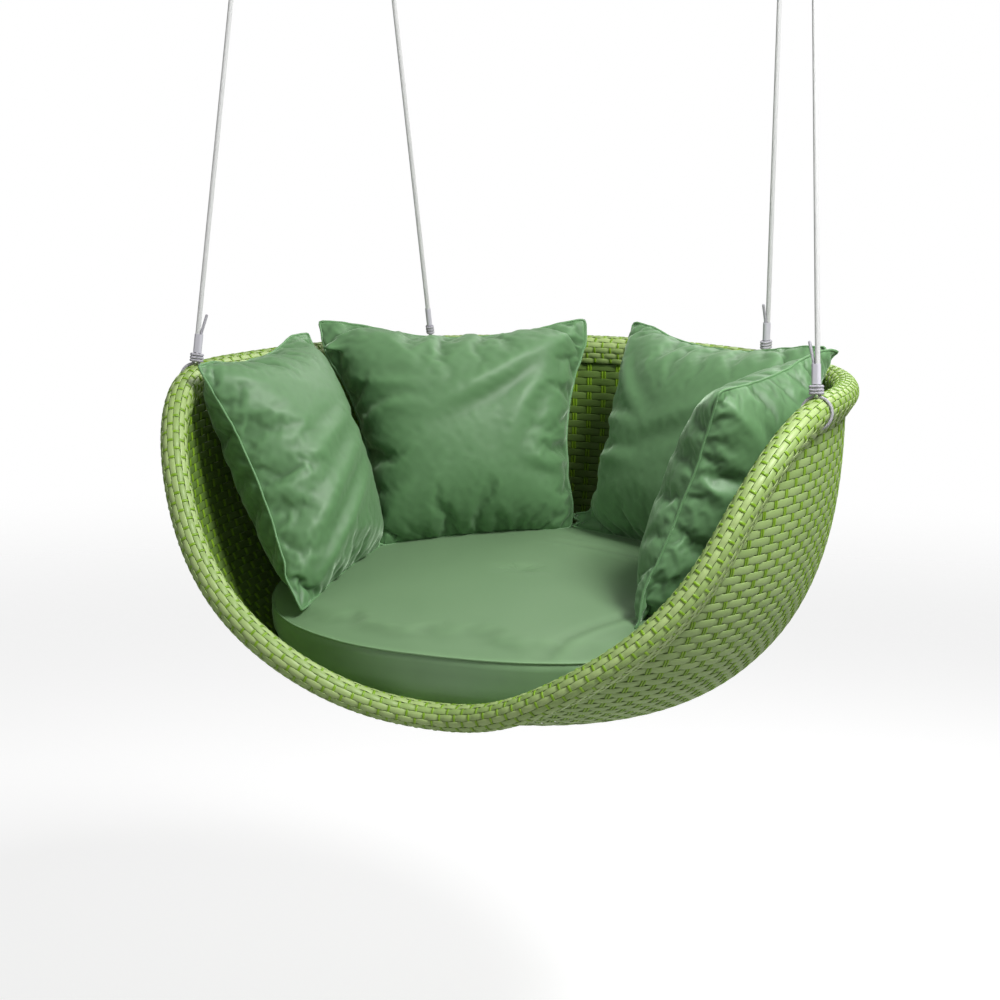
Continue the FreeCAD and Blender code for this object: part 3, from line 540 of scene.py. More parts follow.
def clear_of_wall(points, gap):
    """Points moved in until they are gap inside the bowl's outer face; those above the rim are free."""
    outward, slope = bowl_gradient(points)
    beyond = np.maximum((bowl_level(points) - 1) / np.maximum(slope, LEAST_SLOPE) + gap, 0)
    beyond *= np.clip(-points[:, 2] / WALL_FADE, 0, 1)
    return points - outward * beyond[:, None]


def clear_of_roll(points, gap):
    """Points moved straight out until they are at least gap from the roll's surface."""
    line = RIM_LOOP[::8]
    moved = points.copy()
    batch = 2000
    for start in range(0, len(points), batch):
        part = points[start:start + batch]
        away = part[:, None] - line[None]
        distance = np.linalg.norm(away, axis=-1)
        nearest = np.argmin(distance, axis=1)
        away = away[np.arange(len(part)), nearest]
        near = np.maximum(distance.min(axis=1), 1e-6)
        push = np.maximum(ROLL_RADIUS + gap - near, 0)
        moved[start:start + batch] = part + away / near[:, None] * push[:, None]
    return moved


def seat_height(x, y):
    """Height of the seat cushion's crowned top over a point of the plan."""
    lean = math.hypot(SEAT_SLOPE, 1)
    radius = (SEAT_HALF_WIDTH ** 2 + SEAT_CROWN ** 2) / (2 * SEAT_CROWN)
    centre_y = SEAT_CENTRE_Y + SEAT_SLOPE / lean * radius
    centre_z = SEAT_SEAM_Z + SEAT_CROWN - radius / lean
    return centre_z + np.sqrt(np.maximum(radius ** 2 - x ** 2 - (y - centre_y) ** 2, 0))


def clear_of_seat(points, gap):
    lowest = seat_height(points[:, 0], points[:, 1]) + gap
    return np.stack([points[:, 0], points[:, 1], np.maximum(points[:, 2], lowest)], -1)


def rope_lines():
    """Foot and top of each rope, in the nest's frame."""
    lines = []
    for end in ("front_left", "front_right", "back_left", "back_right"):
        node = frame["nodes"]["rope_" + end]
        to_nest = NEST.inverted() @ node.matrix_world
        skin = np.array([to_nest @ v.co for v in node.data.vertices])
        foot = skin[skin[:, 2] < skin[:, 2].min() + ROPE_END].mean(0)
        top = skin[skin[:, 2] > skin[:, 2].max() - ROPE_END].mean(0)
        lines.append((foot, top))
    return lines


def clear_of_ropes(points, highest):
    """Points moved in so that they pass inside the ropes while the pillow is lifted as far as it goes."""
    points = points.copy()
    for foot, top in ROPE_LINES:
        for rise in np.linspace(0, highest, LIFT_STEPS):
            level = points[:, 2] + rise
            share = (level - foot[2]) / (top[2] - foot[2])
            place = foot[:2] + (top - foot)[:2] * share[:, None]
            inward = np.array(NEST_MIDDLE) - place
            inward /= np.linalg.norm(inward, axis=1, keepdims=True)
            away = points[:, :2] - place
            inside = (away * inward).sum(1)
            beside = np.abs(away[:, 0] * inward[:, 1] - away[:, 1] * inward[:, 0])
            weight = np.clip((ROPE_REACH - beside) / (ROPE_REACH - ROPE_GAP), 0, 1)
            near = (share > 0) & (inside > -ROPE_REACH)
            push = np.where(near, np.maximum(ROPE_GAP - inside, 0), 0) * weight
            points[:, :2] += inward * push[:, None]
    return points


def clear_of_mesh(points, other, gap):
    """Points that lie inside another closed piece, or nearer than gap, moved out of it."""
    moved = points.copy()
    for i, point in enumerate(points):
        place, normal, _, distance = other.find_nearest(Vector(point), PROBE_REACH)
        if place is None:
            continue
        height = (Vector(point) - place).dot(normal)
        if height < gap and (height > 0 or distance < PROBE_DEPTH):
            moved[i] = place + normal * gap
    return moved


ROPE_LINES = rope_lines()


# ---- Cloth ----
def simulate(mesh, pinned, seam, frames, **settings):
    """Runs cloth with air pressure on a closed mesh and returns where its points end up."""
    piece = bpy.data.objects.new("cloth", mesh)
    bpy.context.scene.collection.objects.link(piece)
    for name, members in (("pin", pinned), ("seam", seam)):
        piece.vertex_groups.new(name=name).add([int(i) for i in members], 1.0, "REPLACE")
    cloth = piece.modifiers.new("cloth", "CLOTH")
    cloth.point_cache.frame_end = frames
    cloth.collision_settings.use_collision = False
    values = cloth.settings
    values.quality = 6
    values.mass = 0.03
    values.air_damping = 1.0
    values.tension_damping = values.compression_damping = values.shear_damping = 3.0
    values.effector_weights.gravity = 0.0
    values.vertex_group_mass = "pin"
    values.vertex_group_shrink = "seam"
    values.use_pressure = True
    for name, value in settings.items():
        setattr(values, name, value)
    for number in range(1, frames + 1):
        bpy.context.scene.frame_set(number)
    shaped = piece.evaluated_get(bpy.context.evaluated_depsgraph_get())
    points = np.empty(len(mesh.vertices) * 3)
    shaped.data.vertices.foreach_get("co", points)
    bpy.context.scene.frame_set(1)
    bpy.data.objects.remove(piece)
    return points.reshape(-1, 3)


# ---- Seat cushion ----
SEAT_COLUMNS = 160
SEAT_RINGS = 34
SEAT_SIDE_ROWS = 20
SEAT_MIDDLE = Vector((0, SEAT_CENTRE_Y, -0.47))
SEAT_EDGE_DROP = 0.007
SEAT_EDGE_ROUND = 0.022
SEAT_SKIN_INSET = 0.003
SEAT_CLOTH_CAP = 0.007
SEAT_PINNED_ROWS = 6
SEAM_CREASE = 0.8
SEAT_CORD_RADIUS = 0.0022
# Room kept from the wall's outer face and from the roll's skin.
SEAT_GAPS = {"wall": 0.017, "roll": 0.002}
# Arcs that the seat's faint creases follow: centre (x, y), radius, height and width.
SEAT_CREASES = (
    (-0.10, -0.62, 0.84, 0.0040, 0.010),
    (-0.22, -0.70, 0.98, 0.0030, 0.013),
    (0.62, -0.40, 0.42, 0.0032, 0.012),
)


def tree_of(node):
    """Search tree of a CAD node's skin, in the nest's frame."""
    to_nest = NEST.inverted() @ frame["nodes"][node].matrix_world
    mesh = frame["nodes"][node].data
    points = [to_nest @ vertex.co for vertex in mesh.vertices]
    return BVHTree.FromPolygons(points, [tuple(face.vertices) for face in mesh.polygons])


def seat_outline(theta, inset):
    """The seam's plan: a rounded oval."""
    power = 2 / SEAT_POWER
    x = (SEAT_HALF_WIDTH - inset) * np.sign(np.sin(theta)) * np.abs(np.sin(theta)) ** power
    y = (SEAT_HALF_DEPTH - inset) * np.sign(np.cos(theta)) * np.abs(np.cos(theta)) ** power
    return x, y


def seat_creases(x, y):
    """Height of the faint creases that sweep round the back and right of the seat's top."""
    height = np.zeros_like(x)
    start, run = -0.05, 0.25
    fade = np.clip((x - start) / run, 0, 1)
    for bend_x, bend_y, radius, deep, width in SEAT_CREASES:
        away = np.hypot(x - bend_x, y - bend_y) - radius
        ridge = np.exp(-(away / width) ** 2) - np.exp(-((away - 1.8 * width) / width) ** 2)
        height += deep * fade * ridge
    return height


def seat_top_rings(theta):
    """Rings of the crowned top from near its middle out to the seam, where it rolls over a little."""
    edge_x, edge_y = seat_outline(theta, SEAT_SKIN_INSET)
    rings = []
    for ring in np.linspace(0, 1, SEAT_RINGS + 1)[1:] ** 0.8:
        x, y = ring * edge_x, SEAT_CENTRE_Y + ring * edge_y
        inward = (1 - ring) * np.hypot(edge_x, edge_y)
        drop = SEAT_EDGE_DROP * np.exp(-inward / SEAT_EDGE_ROUND)
        rings.append(np.stack([x, y, seat_height(x, y) - drop], -1))
    return rings


def seat_side_rings(seam, skin):
    """Rings of the side and underside below the seam, just inside the CAD solid's skin."""
    seam = seam - np.array(SEAT_MIDDLE)
    high = np.arctan2(seam[:, 2], np.hypot(seam[:, 0], seam[:, 1]))
    heading = np.arctan2(seam[:, 0], seam[:, 1])
    rings = []
    for row in range(1, SEAT_SIDE_ROWS):
        angle = high + (-math.pi / 2 - high) * row / SEAT_SIDE_ROWS
        ring = []
        for turn, up in zip(heading, angle):
            ray = Vector((math.sin(turn) * math.cos(up), math.cos(turn) * math.cos(up), math.sin(up)))
            place = skin.ray_cast(SEAT_MIDDLE, ray)[0]
            ring.append(place - SEAT_SKIN_INSET * ray)
        rings.append(np.array(ring))
    return rings


def seat_skin():
    """Points and faces of the seat's closed skin, with the numbers of the points on its seam."""
    skin = tree_of("seat_cover")
    rings = seat_top_rings(2 * math.pi * np.arange(SEAT_COLUMNS) / SEAT_COLUMNS)
    rings += seat_side_rings(rings[-1], skin)
    poles = [
        [0, SEAT_CENTRE_Y, seat_height(0.0, SEAT_CENTRE_Y)],
        skin.ray_cast(SEAT_MIDDLE, Vector((0, 0, -1)))[0] + Vector((0, 0, SEAT_SKIN_INSET)),
    ]
    points = np.concatenate([np.array(rings).reshape(-1, 3), np.array(poles)])
    faces = []
    top, low = len(points) - 2, len(points) - 1
    last = (len(rings) - 1) * SEAT_COLUMNS
    for a in range(SEAT_COLUMNS):
        b = (a + 1) % SEAT_COLUMNS
        faces.append((top, b, a))
        faces.append((low, last + a, last + b))
        for ring in range(0, last, SEAT_COLUMNS):
            faces.append((ring + a, ring + b, ring + SEAT_COLUMNS + b, ring + SEAT_COLUMNS + a))
    seam = np.arange((SEAT_RINGS - 1) * SEAT_COLUMNS, SEAT_RINGS * SEAT_COLUMNS)
    return points, faces, seam


def build_seat(materials):
    points, faces, seam = seat_skin()
    mesh = bpy.data.meshes.new("cloth")
    mesh.from_pydata(points.tolist(), [], faces)
    under = np.flatnonzero(np.arange(len(points)) > seam[-1] + SEAT_PINNED_ROWS * SEAT_COLUMNS)
    soft = simulate(
        mesh, under, seam, 20, uniform_pressure_force=0.6, shrink_min=-0.02, shrink_max=0.012,
        tension_stiffness=20, compression_stiffness=14, shear_stiffness=5, bending_stiffness=0.03,
    )
    points = capped(points, soft, SEAT_CLOTH_CAP)
    on_top = np.arange(len(points)) < seam[0]
    points[on_top, 2] += seat_creases(points[on_top, 0], points[on_top, 1])
    points = clear_of_roll(clear_of_wall(points, SEAT_GAPS["wall"]), SEAT_GAPS["roll"])
    seat = soft_piece("seat", points, faces, seam, materials["seat"], "seat_cushion", "seat_fabric")
    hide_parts("seat_cover", "seat_foam_core")
    piping = build_cord(
        "seat_seam", points[seam], SEAT_CORD_RADIUS, materials["seat"], "seat_cushion", "seat_fabric"
    )
    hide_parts("seat_piping")


def soft_piece(name, points, faces, seam, material, body, slot):
    """A smooth closed cushion skin with a crisp seam, as a piece."""
    mesh = bpy.data.meshes.new(name)
    mesh.from_pydata(points.tolist(), [], faces)
    mesh.polygons.foreach_set("use_smooth", np.ones(len(mesh.polygons), bool))
    sharpen(mesh, seam)
    piece = finish_piece(name, mesh, material, body)
    smooth = piece.modifiers.new("smooth", "SUBSURF")
    smooth.levels = smooth.render_levels = 1
    return piece


def sharpen(mesh, ring):
    """Marks a seam: its edges stay crisp when the mesh is smoothed."""
    members = set(int(i) for i in ring)
    crease = mesh.attributes.new("crease_edge", "FLOAT", "EDGE")
    ends = (edge.vertices for edge in mesh.edges)
    crease.data.foreach_set("value", [SEAM_CREASE if a in members and b in members else 0.0 for a, b in ends])


def capped(points, soft, most):
    """Simulated points held to within a distance of where they started."""
    move = soft - points
    length = np.maximum(np.linalg.norm(move, axis=1, keepdims=True), 1e-9)
    return points + move * np.minimum(1, most / length)


# ---- Pillows ----
PILLOW_GRID = 60
PILLOW_SWELL_POWER = 0.62
PILLOW_START = 0.3
PILLOW_UNEVEN = 0.0006
PILLOW_FLATTEN = 0.12
PILLOW_CORD_RADIUS = 0.0024
# Room kept from the wall's outer face and from the skin of the other neighbours.
PILLOW_GAPS = {"wall": 0.020, "roll": 0.003, "seat": 0.004, "pillow": 0.003}
SETTLE_GAP = 0.006
PILLOW_SEEDS = {"left": 3, "right": 5, "centre": 8, "back": 13}
# How deep a fold's valley is beside its ridge, and how far off it lies in widths.
FOLD_VALLEY = 0.8
FOLD_VALLEY_PLACE = 1.5
# Folds over each pillow's front: from and to (across, down), bow, height and width.
PILLOW_FOLDS = {
    "left": (
        (0.10, 0.98, 0.75, 0.62, 0.05, 0.007, 0.035), (0.05, 0.80, 0.80, 0.50, 0.04, 0.006, 0.040),
        (0.02, 0.60, 0.70, 0.42, 0.03, 0.005, 0.035), (0.98, 0.95, 0.30, 0.78, -0.03, 0.005, 0.030),
    ),
    "centre": (
        (0.97, 0.03, 0.30, 0.50, 0.05, 0.010, 0.045), (0.98, 0.05, 0.62, 0.70, -0.04, 0.006, 0.040),
        (0.02, 0.52, 0.38, 0.44, 0.03, 0.007, 0.028), (0.03, 0.30, 0.40, 0.36, -0.02, 0.005, 0.030),
        (0.98, 0.72, 0.70, 0.64, 0.02, 0.006, 0.025), (0.03, 0.97, 0.30, 0.72, 0.02, 0.004, 0.030),
    ),
    "back": (
        (0.98, 0.10, 0.25, 0.55, 0.06, 0.008, 0.045), (0.03, 0.04, 0.45, 0.50, -0.04, 0.006, 0.035),
        (0.02, 0.70, 0.45, 0.62, 0.02, 0.005, 0.030), (0.02, 0.50, 0.40, 0.50, 0.02, 0.005, 0.025),
    ),
    "right": (
        (0.05, 0.05, 0.50, 0.50, 0.04, 0.006, 0.035), (0.02, 0.40, 0.60, 0.55, 0.03, 0.006, 0.035),
        (0.03, 0.95, 0.55, 0.60, 0.03, 0.006, 0.035),
    ),
}


def two_sheets(grid):
    """Index tables of a front and a back sheet that share their border, with the quads of the closed skin."""
    front = np.arange((grid + 1) ** 2).reshape(grid + 1, grid + 1)
    back = front.copy()
    inner = back[1:-1, 1:-1]
    inner[...] = (grid + 1) ** 2 + np.arange((grid - 1) ** 2).reshape(grid - 1, grid - 1)
    faces = []
    for sheet, turned in ((front, False), (back, True)):
        quads = np.stack([sheet[:-1, :-1], sheet[1:, :-1], sheet[1:, 1:], sheet[:-1, 1:]], -1).reshape(-1, 4)
        faces.extend((quads[:, ::-1] if turned else quads).tolist())
    border = np.concatenate([front[0, :-1], front[:-1, -1], front[-1, :0:-1], front[:0:-1, 0]])
    return front, back, faces, border


def pillow_points(corners, grid, front, back, half):
    """Points of the pillow between its corners, swelling to half its thickness on each side."""
    top_left, top_right, low_left, low_right = (np.array(corner) for corner in corners)
    u, v = np.meshgrid(np.linspace(0, 1, grid + 1), np.linspace(0, 1, grid + 1))
    u, v = u[..., None], v[..., None]
    flat = (top_left * (1 - u) + top_right * u) * (1 - v) + (low_left * (1 - u) + low_right * u) * v
    normal = np.cross(low_left - top_left, top_right - top_left)
    normal /= np.linalg.norm(normal)
    swell = (16 * u * (1 - u) * v * (1 - v)) ** PILLOW_SWELL_POWER
    points = np.zeros((back.max() + 1, 3))
    points[back] = flat - normal * half * swell
    points[front] = flat + normal * half * swell
    points[front[0]], points[front[-1]] = flat[0], flat[-1]
    points[front[:, 0]], points[front[:, -1]] = flat[:, 0], flat[:, -1]
    return points, normal


def pillow_folds(points, name, grid, front, normal):
    """Adds the long soft folds that run in from a pillow's corners and edges over its front."""
    u, v = np.meshgrid(np.linspace(0, 1, grid + 1), np.linspace(0, 1, grid + 1))
    inside = (16 * u * (1 - u) * v * (1 - v)) ** 0.5
    lift = np.zeros_like(u)
    for start_u, start_v, end_u, end_v, bow, height, width in PILLOW_FOLDS[name]:
        along_u, along_v = end_u - start_u, end_v - start_v
        length = math.hypot(along_u, along_v)
        run = ((u - start_u) * along_u + (v - start_v) * along_v) / length ** 2
        off = ((u - start_u) * along_v - (v - start_v) * along_u) / length
        off = off - bow * np.sin(np.pi * np.clip(run, 0, 1))
        # A fold starts at once and fades out over the last third of its run.
        fade = np.clip(run * 5 + 0.4, 0, 1) * np.clip((1 - run) * 3, 0, 1)
        valley = np.exp(-((off - FOLD_VALLEY_PLACE * width) / width) ** 2)
        ridge = np.exp(-(off / width) ** 2) - FOLD_VALLEY * valley
        lift += height * ridge * fade
    points[front] += normal * (lift * np.minimum(inside * 1.6, 1))[..., None]
    return points


def settle(points, front, back):
    """Lets a pillow's bottom edge down on the seat, each upright line of points following its foot."""
    foot = points[front[-1]]
    drop = np.maximum(foot[:, 2] - seat_height(foot[:, 0], foot[:, 1]) - SETTLE_GAP, 0)
    share = np.linspace(0, 1, len(front))[:, None] ** 3
    lowered = share * drop[None, :]
    points[front, 2] -= lowered
    points[back[1:-1, 1:-1], 2] -= lowered[1:-1, 1:-1]
    return points


def build_pillow(name, materials, others):
    front, back, faces, border = two_sheets(PILLOW_GRID)
    full, normal = pillow_points(PILLOW_CORNERS[name], PILLOW_GRID, front, back, PILLOW_THICKNESS / 2)
    points = full
    thin = PILLOW_THICKNESS * PILLOW_START
    start = pillow_points(PILLOW_CORNERS[name], PILLOW_GRID, front, back, thin)[0]
    random = np.random.default_rng(PILLOW_SEEDS[name])
    start += random.normal(0, PILLOW_UNEVEN, start.shape)
    mesh = bpy.data.meshes.new("cloth")
    mesh.from_pydata(start.tolist(), [], faces)
    pins = [front[0, 0], front[0, -1], front[-1, 0], front[-1, -1]]
    points = simulate(
        mesh, pins, border, 24, uniform_pressure_force=5.0, shrink_min=-0.16, shrink_max=-0.01,
        tension_stiffness=18, compression_stiffness=10, shear_stiffness=3, bending_stiffness=0.015,
    )
    points -= normal * ((points - full.mean(0)) @ normal)[:, None] * PILLOW_FLATTEN
    points = settle(pillow_folds(points, name, PILLOW_GRID, front, normal), front, back)
    points = clear_of_wall(points, PILLOW_GAPS["wall"])
    points = clear_of_roll(points, PILLOW_GAPS["roll"])
    points = clear_of_seat(points, PILLOW_GAPS["seat"])
    points = clear_of_ropes(points, LIFT_TOTAL)
    for other in others:
        points = clear_of_mesh(points, other, PILLOW_GAPS["pillow"])
    tree = BVHTree.FromPolygons([Vector(point) for point in points], faces)
    place = ("pillow_" + name, "pillow_fabric")
    piece = soft_piece("pillow_" + name, points, faces, border, materials["pillow"], *place)
    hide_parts("pillow_cover_" + name, "pillow_insert_" + name)
    build_cord("pillow_seam_" + name, points[border], PILLOW_CORD_RADIUS, materials["pillow"], *place)
    return tree


def build_cord(name, loop, radius, material, body, slot):
    """A round cord along a closed loop of points."""
    closed = np.concatenate([loop, loop[:1]])
    steps = np.linalg.norm(np.diff(closed, axis=0), axis=1)
    run = np.concatenate([[0], np.cumsum(steps + 1e-9)])
    even = np.linspace(0, run[-1], len(loop), endpoint=False)
    loop = np.stack([np.interp(even, run, closed[:, axis]) for axis in range(3)], -1)
    smooth = (np.roll(loop, 1, 0) + 2 * loop + np.roll(loop, -1, 0)) / 4
    tangent = np.roll(smooth, -1, 0) - np.roll(smooth, 1, 0)
    tangent /= np.linalg.norm(tangent, axis=1, keepdims=True)
    side = smooth - smooth.mean(0)
    side -= tangent * (side * tangent).sum(1, keepdims=True)
    side /= np.linalg.norm(side, axis=1, keepdims=True)
    other = np.cross(tangent, side)
    turn = np.radians(np.arange(8) * 45.0)[None, :, None]
    rings = smooth[:, None] + radius * (side[:, None] * np.cos(turn) + other[:, None] * np.sin(turn))
    strands = Strands()
    strands.add(rings, 0.5, closed=True)
    return strands.build(name, material, body, slot)


def build_pillows(materials):
    done = []
    for name in ("left", "right", "centre", "back"):
        done.append(build_pillow(name, materials, list(done)))


# ---- Materials ----
class Nodes:
    """A small helper that makes nodes and links by name."""

    def __init__(self, name):
        self.material = bpy.data.materials.new(name)
        self.material.use_nodes = True
        self.tree = self.material.node_tree
        self.shader = self.tree.nodes["Principled BSDF"]

    def add(self, kind, **settings):
        node = self.tree.nodes.new("ShaderNode" + kind)
        for key, value in settings.items():
            setattr(node, key, value)
        return node

    def link(self, source, target):
        self.tree.links.new(source, target)

    def drive(self, name, source):
        """Feeds one of the shader's inputs from a socket."""
        self.link(source, self.shader.inputs[name])

    def set(self, **values):
        for key, value in values.items():
            self.shader.inputs[key.replace("_", " ")].default_value = value

    def mix(self, factor, first, second):
        """Mix of two colours or colour sockets by a factor socket."""
        node = self.add("Mix", data_type="RGBA")
        self.link(factor, node.inputs[0])
        for slot, value in ((6, first), (7, second)):
            if isinstance(value, tuple):
                node.inputs[slot].default_value = value
            else:
                self.link(value, node.inputs[slot])
        return node.outputs[2]

    def bump(self, height, strength, distance):
        node = self.add("Bump")
        node.inputs["Strength"].default_value = strength
        node.inputs["Distance"].default_value = distance
        self.link(height, node.inputs["Height"])
        self.drive("Normal", node.outputs["Normal"])

    def vary_roughness(self, scale, low, high):
        """Roughness that drifts between two values."""
        rough = self.add("MapRange")
        self.link(self.noise(scale, 3.0), rough.inputs["Value"])
        rough.inputs["To Min"].default_value = low
        rough.inputs["To Max"].default_value = high
        self.drive("Roughness", rough.outputs["Result"])

    def place(self):
        return self.add("TexCoord").outputs["Object"]

    def noise(self, scale, detail=2.0):
        node = self.add("TexNoise")
        node.inputs["Scale"].default_value = scale
        node.inputs["Detail"].default_value = detail
        self.link(self.place(), node.inputs["Vector"])
        return node.outputs["Fac"]


def srgb(red, green, blue):
    """An 8-bit display colour as a linear one."""
    linear = [((c / 255 + 0.055) / 1.055) ** 2.4 if c > 10 else c / 255 / 12.92 for c in (red, green, blue)]
    return (*linear, 1.0)


def darker(colour, share):
    """A linear colour taken down to a share of its brightness."""
    return tuple(share * c for c in colour[:3]) + (1,)


def strap_material(name, low, high, roughness):
    """Flat synthetic strap: each strap a little lighter or darker, with fine grain and a soft shine."""
    nodes = Nodes(name)
    tint = nodes.add("Attribute", attribute_name="tint").outputs["Fac"]
    base = nodes.mix(tint, low, high)
    fade = nodes.mix(nodes.noise(9.0), darker(low, 0.86), base)
    ramp = nodes.add("Math", operation="MULTIPLY_ADD")
    nodes.link(nodes.noise(4.0), ramp.inputs[0])
    ramp.inputs[1].default_value, ramp.inputs[2].default_value = 0.7, 0.35
    nodes.drive("Base Color", nodes.mix(ramp.outputs[0], fade, base))
    nodes.bump(nodes.noise(900.0, 3.0), 0.25, 0.0004)
    nodes.set(Roughness=roughness, IOR=1.46)
    return nodes.material


def fabric_material(name, low, high, sheen):
    """Satin upholstery: a fine weave, a soft sheen, colour that drifts slightly over the piece, and painted
    shade where the skin curves inward.
    """
    nodes = Nodes(name)
    drift = nodes.mix(nodes.noise(7.0, 4.0), low, high)
    # Painted shade: the colour goes darker where the skin curves inward, in creases, folds and along the seam,
    # read from pointiness.
    painted_crease_shade = nodes.add("MapRange")
    nodes.link(nodes.add("NewGeometry").outputs["Pointiness"], painted_crease_shade.inputs["Value"])
    painted_crease_shade.inputs["From Min"].default_value, painted_crease_shade.inputs["From Max"].default_value = 0.44, 0.54
    nodes.drive("Base Color", nodes.mix(painted_crease_shade.outputs["Result"], darker(low, 0.42), drift))
    place = nodes.place()
    heights = []
    for axis in ("X", "Y", "Z"):
        wave = nodes.add("TexWave", bands_direction=axis)
        wave.inputs["Scale"].default_value = 500.0
        wave.inputs["Distortion"].default_value = 0.6
        nodes.link(place, wave.inputs["Vector"])
        heights.append(wave.outputs["Fac"])
    total = heights[0]
    for height in heights[1:]:
        both = nodes.add("Math", operation="ADD")
        nodes.link(total, both.inputs[0])
        nodes.link(height, both.inputs[1])
        total = both.outputs[0]
    nodes.bump(total, 0.12, 0.0004)
    nodes.vary_roughness(14.0, 0.44, 0.56)
    nodes.set(Sheen_Weight=sheen, Sheen_Roughness=0.35)
    nodes.shader.inputs["Sheen Tint"].default_value = srgb(205, 230, 200)
    return nodes.material


def rope_material(name, colour, twist):
    """Braided cord: fine slanting strands in the bump, and painted shade that darkens the grooves between them.
    """
    nodes = Nodes(name)
    wave = nodes.add("TexWave", bands_direction="DIAGONAL")
    wave.inputs["Scale"].default_value = twist
    wave.inputs["Distortion"].default_value = 1.5
    nodes.link(nodes.place(), wave.inputs["Vector"])
    # Painted shade: the colour goes darker in the grooves of the braid, following the bump's wave.
    nodes.drive("Base Color", nodes.mix(wave.outputs["Fac"], darker(colour, 0.72), colour))
    nodes.bump(wave.outputs["Fac"], 0.5, 0.0008)
    nodes.set(Roughness=0.75)
    return nodes.material


def metal_material(name, colour, roughness, grain):
    """Galvanised or brushed steel, with mottled roughness and fine scratches."""
    nodes = Nodes(name)
    nodes.drive("Base Color", nodes.mix(nodes.noise(60.0, 4.0), darker(colour, 0.8), colour))
    nodes.vary_roughness(grain, roughness - 0.08, roughness + 0.12)
    nodes.bump(nodes.noise(grain, 2.0), 0.1, 0.0003)
    nodes.set(Metallic=1.0)
    return nodes.material


def plain_material(name, colour, roughness):
    """Moulded plastic or paint, with a faint orange peel and slight tone changes."""
    nodes = Nodes(name)
    nodes.drive("Base Color", nodes.mix(nodes.noise(25.0, 3.0), darker(colour, 0.9), colour))
    nodes.bump(nodes.noise(400.0, 2.0), 0.15, 0.0003)
    nodes.set(Roughness=roughness)
    return nodes.material


def make_materials():
    return {
        "row": strap_material("woven_row", srgb(140, 166, 98), srgb(154, 178, 112), 0.5),
        "rim_row": strap_material("rim_row", srgb(146, 172, 100), srgb(170, 192, 124), 0.45),
        # Same strap as the outer rows, coloured darker: painted shade inside the bowl.
        "inner_row_painted_shade": strap_material("inner_row_painted_shade", srgb(98, 126, 56), srgb(112, 140, 70), 0.5),
        "stake": strap_material("woven_stake", srgb(116, 156, 26), srgb(134, 174, 42), 0.4),
        "underlay": plain_material("rim_underlay", srgb(70, 100, 30), 0.7),
        "seat": fabric_material("seat_fabric", srgb(116, 152, 108), srgb(130, 164, 120), 0.6),
        "pillow": fabric_material("pillow_fabric", srgb(98, 140, 92), srgb(110, 154, 104), 0.7),
        "rope": rope_material("rope", srgb(222, 223, 222), 260.0),
        "cord": rope_material("tie_cord", srgb(188, 186, 194), 420.0),
        "sleeve": plain_material("sleeve", srgb(205, 203, 212), 0.4),
        "galvanised": metal_material("galvanised", srgb(172, 174, 176), 0.42, 300.0),
        "zinc": metal_material("zinc", srgb(188, 189, 190), 0.34, 500.0),
        "stainless": metal_material("stainless", srgb(200, 201, 203), 0.24, 700.0),
        "nylon": plain_material("nylon", srgb(226, 226, 218), 0.5),
        "frame": plain_material("frame_paint", srgb(96, 126, 44), 0.45),
        "foam": plain_material("foam", srgb(235, 232, 214), 0.9),
    }


CAD_FINISH = {
    "galvanised_steel": "galvanised", "zinc_fasteners": "zinc", "stainless": "stainless",
    "bush_nylon": "nylon", "rope": "rope", "tie_cord": "cord", "sleeve": "sleeve",
    "frame_paint": "frame", "foam": "foam",
    "woven_strap": "row", "rim_strap": "rim_row", "seat_fabric": "seat", "pillow_fabric": "pillow",
}


def paint_cad_nodes(materials):
    for part in frame["record"]["subparts"]:
        piece = frame["nodes"][part["node"]]
        finish = materials[CAD_FINISH[part["material_slot"]]]
        if not piece.material_slots:
            piece.data.materials.append(finish)
        for slot in piece.material_slots:
            slot.material = finish


# ---- Stage ----
FLOOR_DROP = 0.9
FLOOR_RADIUS = 9.0
FLOOR_FADE_RADIUS = 8.5
FLOOR_TONE = 0.6
FLOOR_GLOW = 0.62
WORLD_STRENGTH = 0.27


def build_world():
    """A white backdrop for the camera that lights the scene only softly."""
    world = bpy.data.worlds.new("studio")
    world.use_nodes = True
    tree = world.node_tree
    background = tree.nodes["Background"]
    background.inputs["Color"].default_value = (1, 1, 1, 1)
    path = tree.nodes.new("ShaderNodeLightPath")
    strength = tree.nodes.new("ShaderNodeMapRange")
    strength.inputs["To Min"].default_value = WORLD_STRENGTH
    strength.inputs["To Max"].default_value = 1.0
    tree.links.new(path.outputs["Is Camera Ray"], strength.inputs["Value"])
    tree.links.new(strength.outputs["Result"], background.inputs["Strength"])
    bpy.context.scene.world = world
    bpy.context.scene.view_settings.view_transform = "Standard"


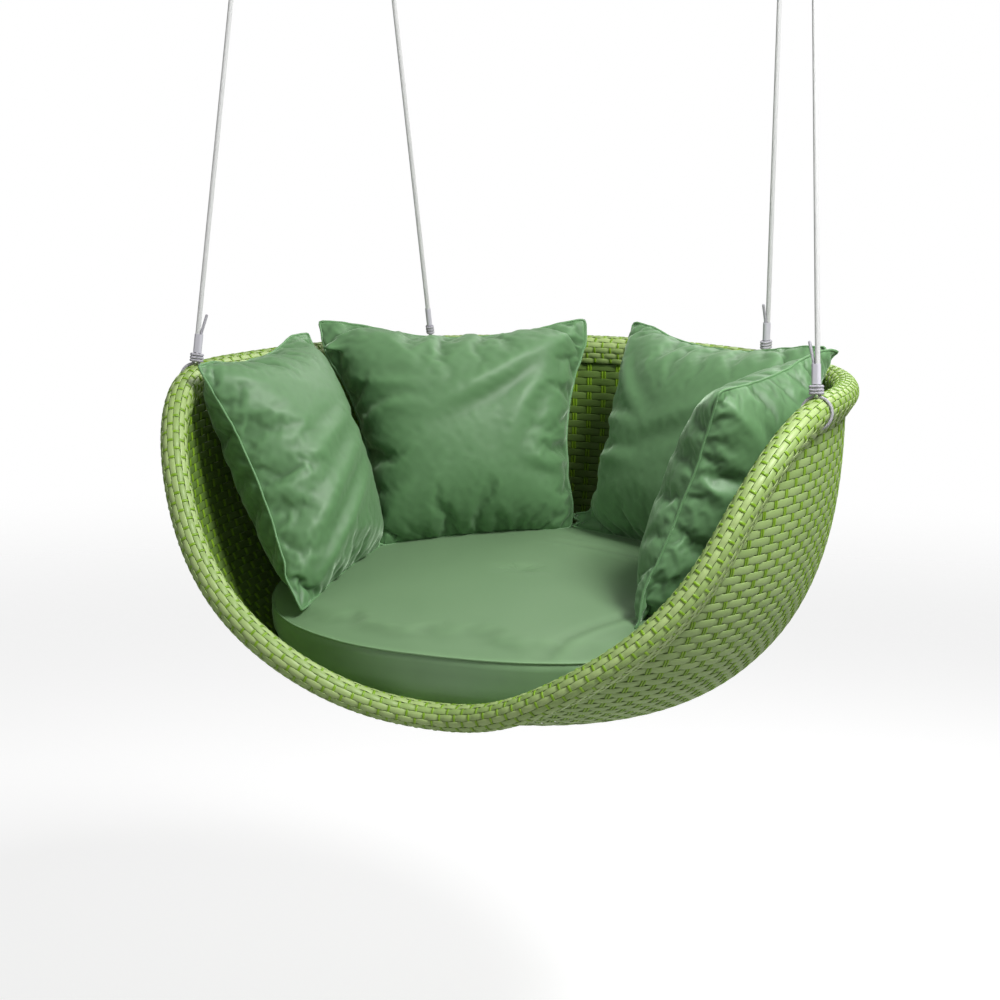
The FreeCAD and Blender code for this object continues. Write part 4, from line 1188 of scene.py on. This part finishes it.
def build_floor():
    """A pale round floor below the nest that melts into the backdrop at its edge."""
    place = (0, 0, CAD_BOX[0][2] - FLOOR_DROP)
    bpy.ops.mesh.primitive_circle_add(vertices=96, radius=FLOOR_RADIUS, fill_type="NGON", location=place)
    floor = bpy.context.object
    floor.name = "floor"
    nodes = Nodes("floor")
    nodes.set(Base_Color=(FLOOR_TONE, FLOOR_TONE, FLOOR_TONE, 1), Roughness=0.9)
    nodes.shader.inputs["Emission Color"].default_value = (1, 1, 1, 1)
    glow = nodes.add("Math", operation="MULTIPLY")
    nodes.link(nodes.add("LightPath").outputs["Is Camera Ray"], glow.inputs[0])
    glow.inputs[1].default_value = FLOOR_GLOW
    nodes.drive("Emission Strength", glow.outputs[0])
    gradient = nodes.add("TexGradient", gradient_type="SPHERICAL")
    mapping = nodes.add("Mapping")
    mapping.inputs["Scale"].default_value = (1 / FLOOR_FADE_RADIUS, 1 / FLOOR_FADE_RADIUS, 1)
    nodes.link(nodes.place(), mapping.inputs["Vector"])
    nodes.link(mapping.outputs["Vector"], gradient.inputs["Vector"])
    edge = nodes.add("MapRange", interpolation_type="SMOOTHSTEP")
    edge.inputs["From Max"].default_value = 0.6
    nodes.link(gradient.outputs["Fac"], edge.inputs["Value"])
    nodes.drive("Alpha", edge.outputs["Result"])
    floor.data.materials.append(nodes.material)


def area_light(name, place, size, power, target):
    data = bpy.data.lights.new(name, "AREA")
    data.energy = power
    data.size = size
    light = bpy.data.objects.new(name, data)
    bpy.context.scene.collection.objects.link(light)
    light.location = NEST @ Vector(place)
    light.rotation_euler = (Vector(target) - Vector(place)).to_track_quat("-Z", "Y").to_euler()


def build_lights():
    area_light("key", (2.0, -1.0, 2.4), 0.9, 140, (0, 0, -0.3))
    area_light("fill", (-2.6, -2.6, 0.8), 2.6, 8, (0, 0, -0.3))
    area_light("back", (0.4, 2.6, 2.0), 1.8, 40, (0, 0, -0.2))


def build_camera():
    azimuth, elevation = math.radians(CAMERA_AZIMUTH), math.radians(CAMERA_ELEVATION)
    behind = Vector((
        math.sin(azimuth) * math.cos(elevation), -math.cos(azimuth) * math.cos(elevation), math.sin(elevation)
    ))
    data = bpy.data.cameras.new("camera")
    data.lens = CAMERA_LENS
    data.sensor_width = SENSOR
    camera = bpy.data.objects.new("camera", data)
    bpy.context.scene.collection.objects.link(camera)
    turned = behind.to_track_quat("Z", "Y").to_matrix().to_4x4()
    camera.matrix_world = NEST @ Matrix.Translation(CAMERA_PLACE) @ turned
    bpy.context.scene.camera = camera


def main():
    materials = make_materials()
    paint_cad_nodes(materials)
    build_wall(materials)
    build_roll(materials)
    build_seat(materials)
    build_pillows(materials)
    build_world()
    build_floor()
    build_lights()
    build_camera()


main()
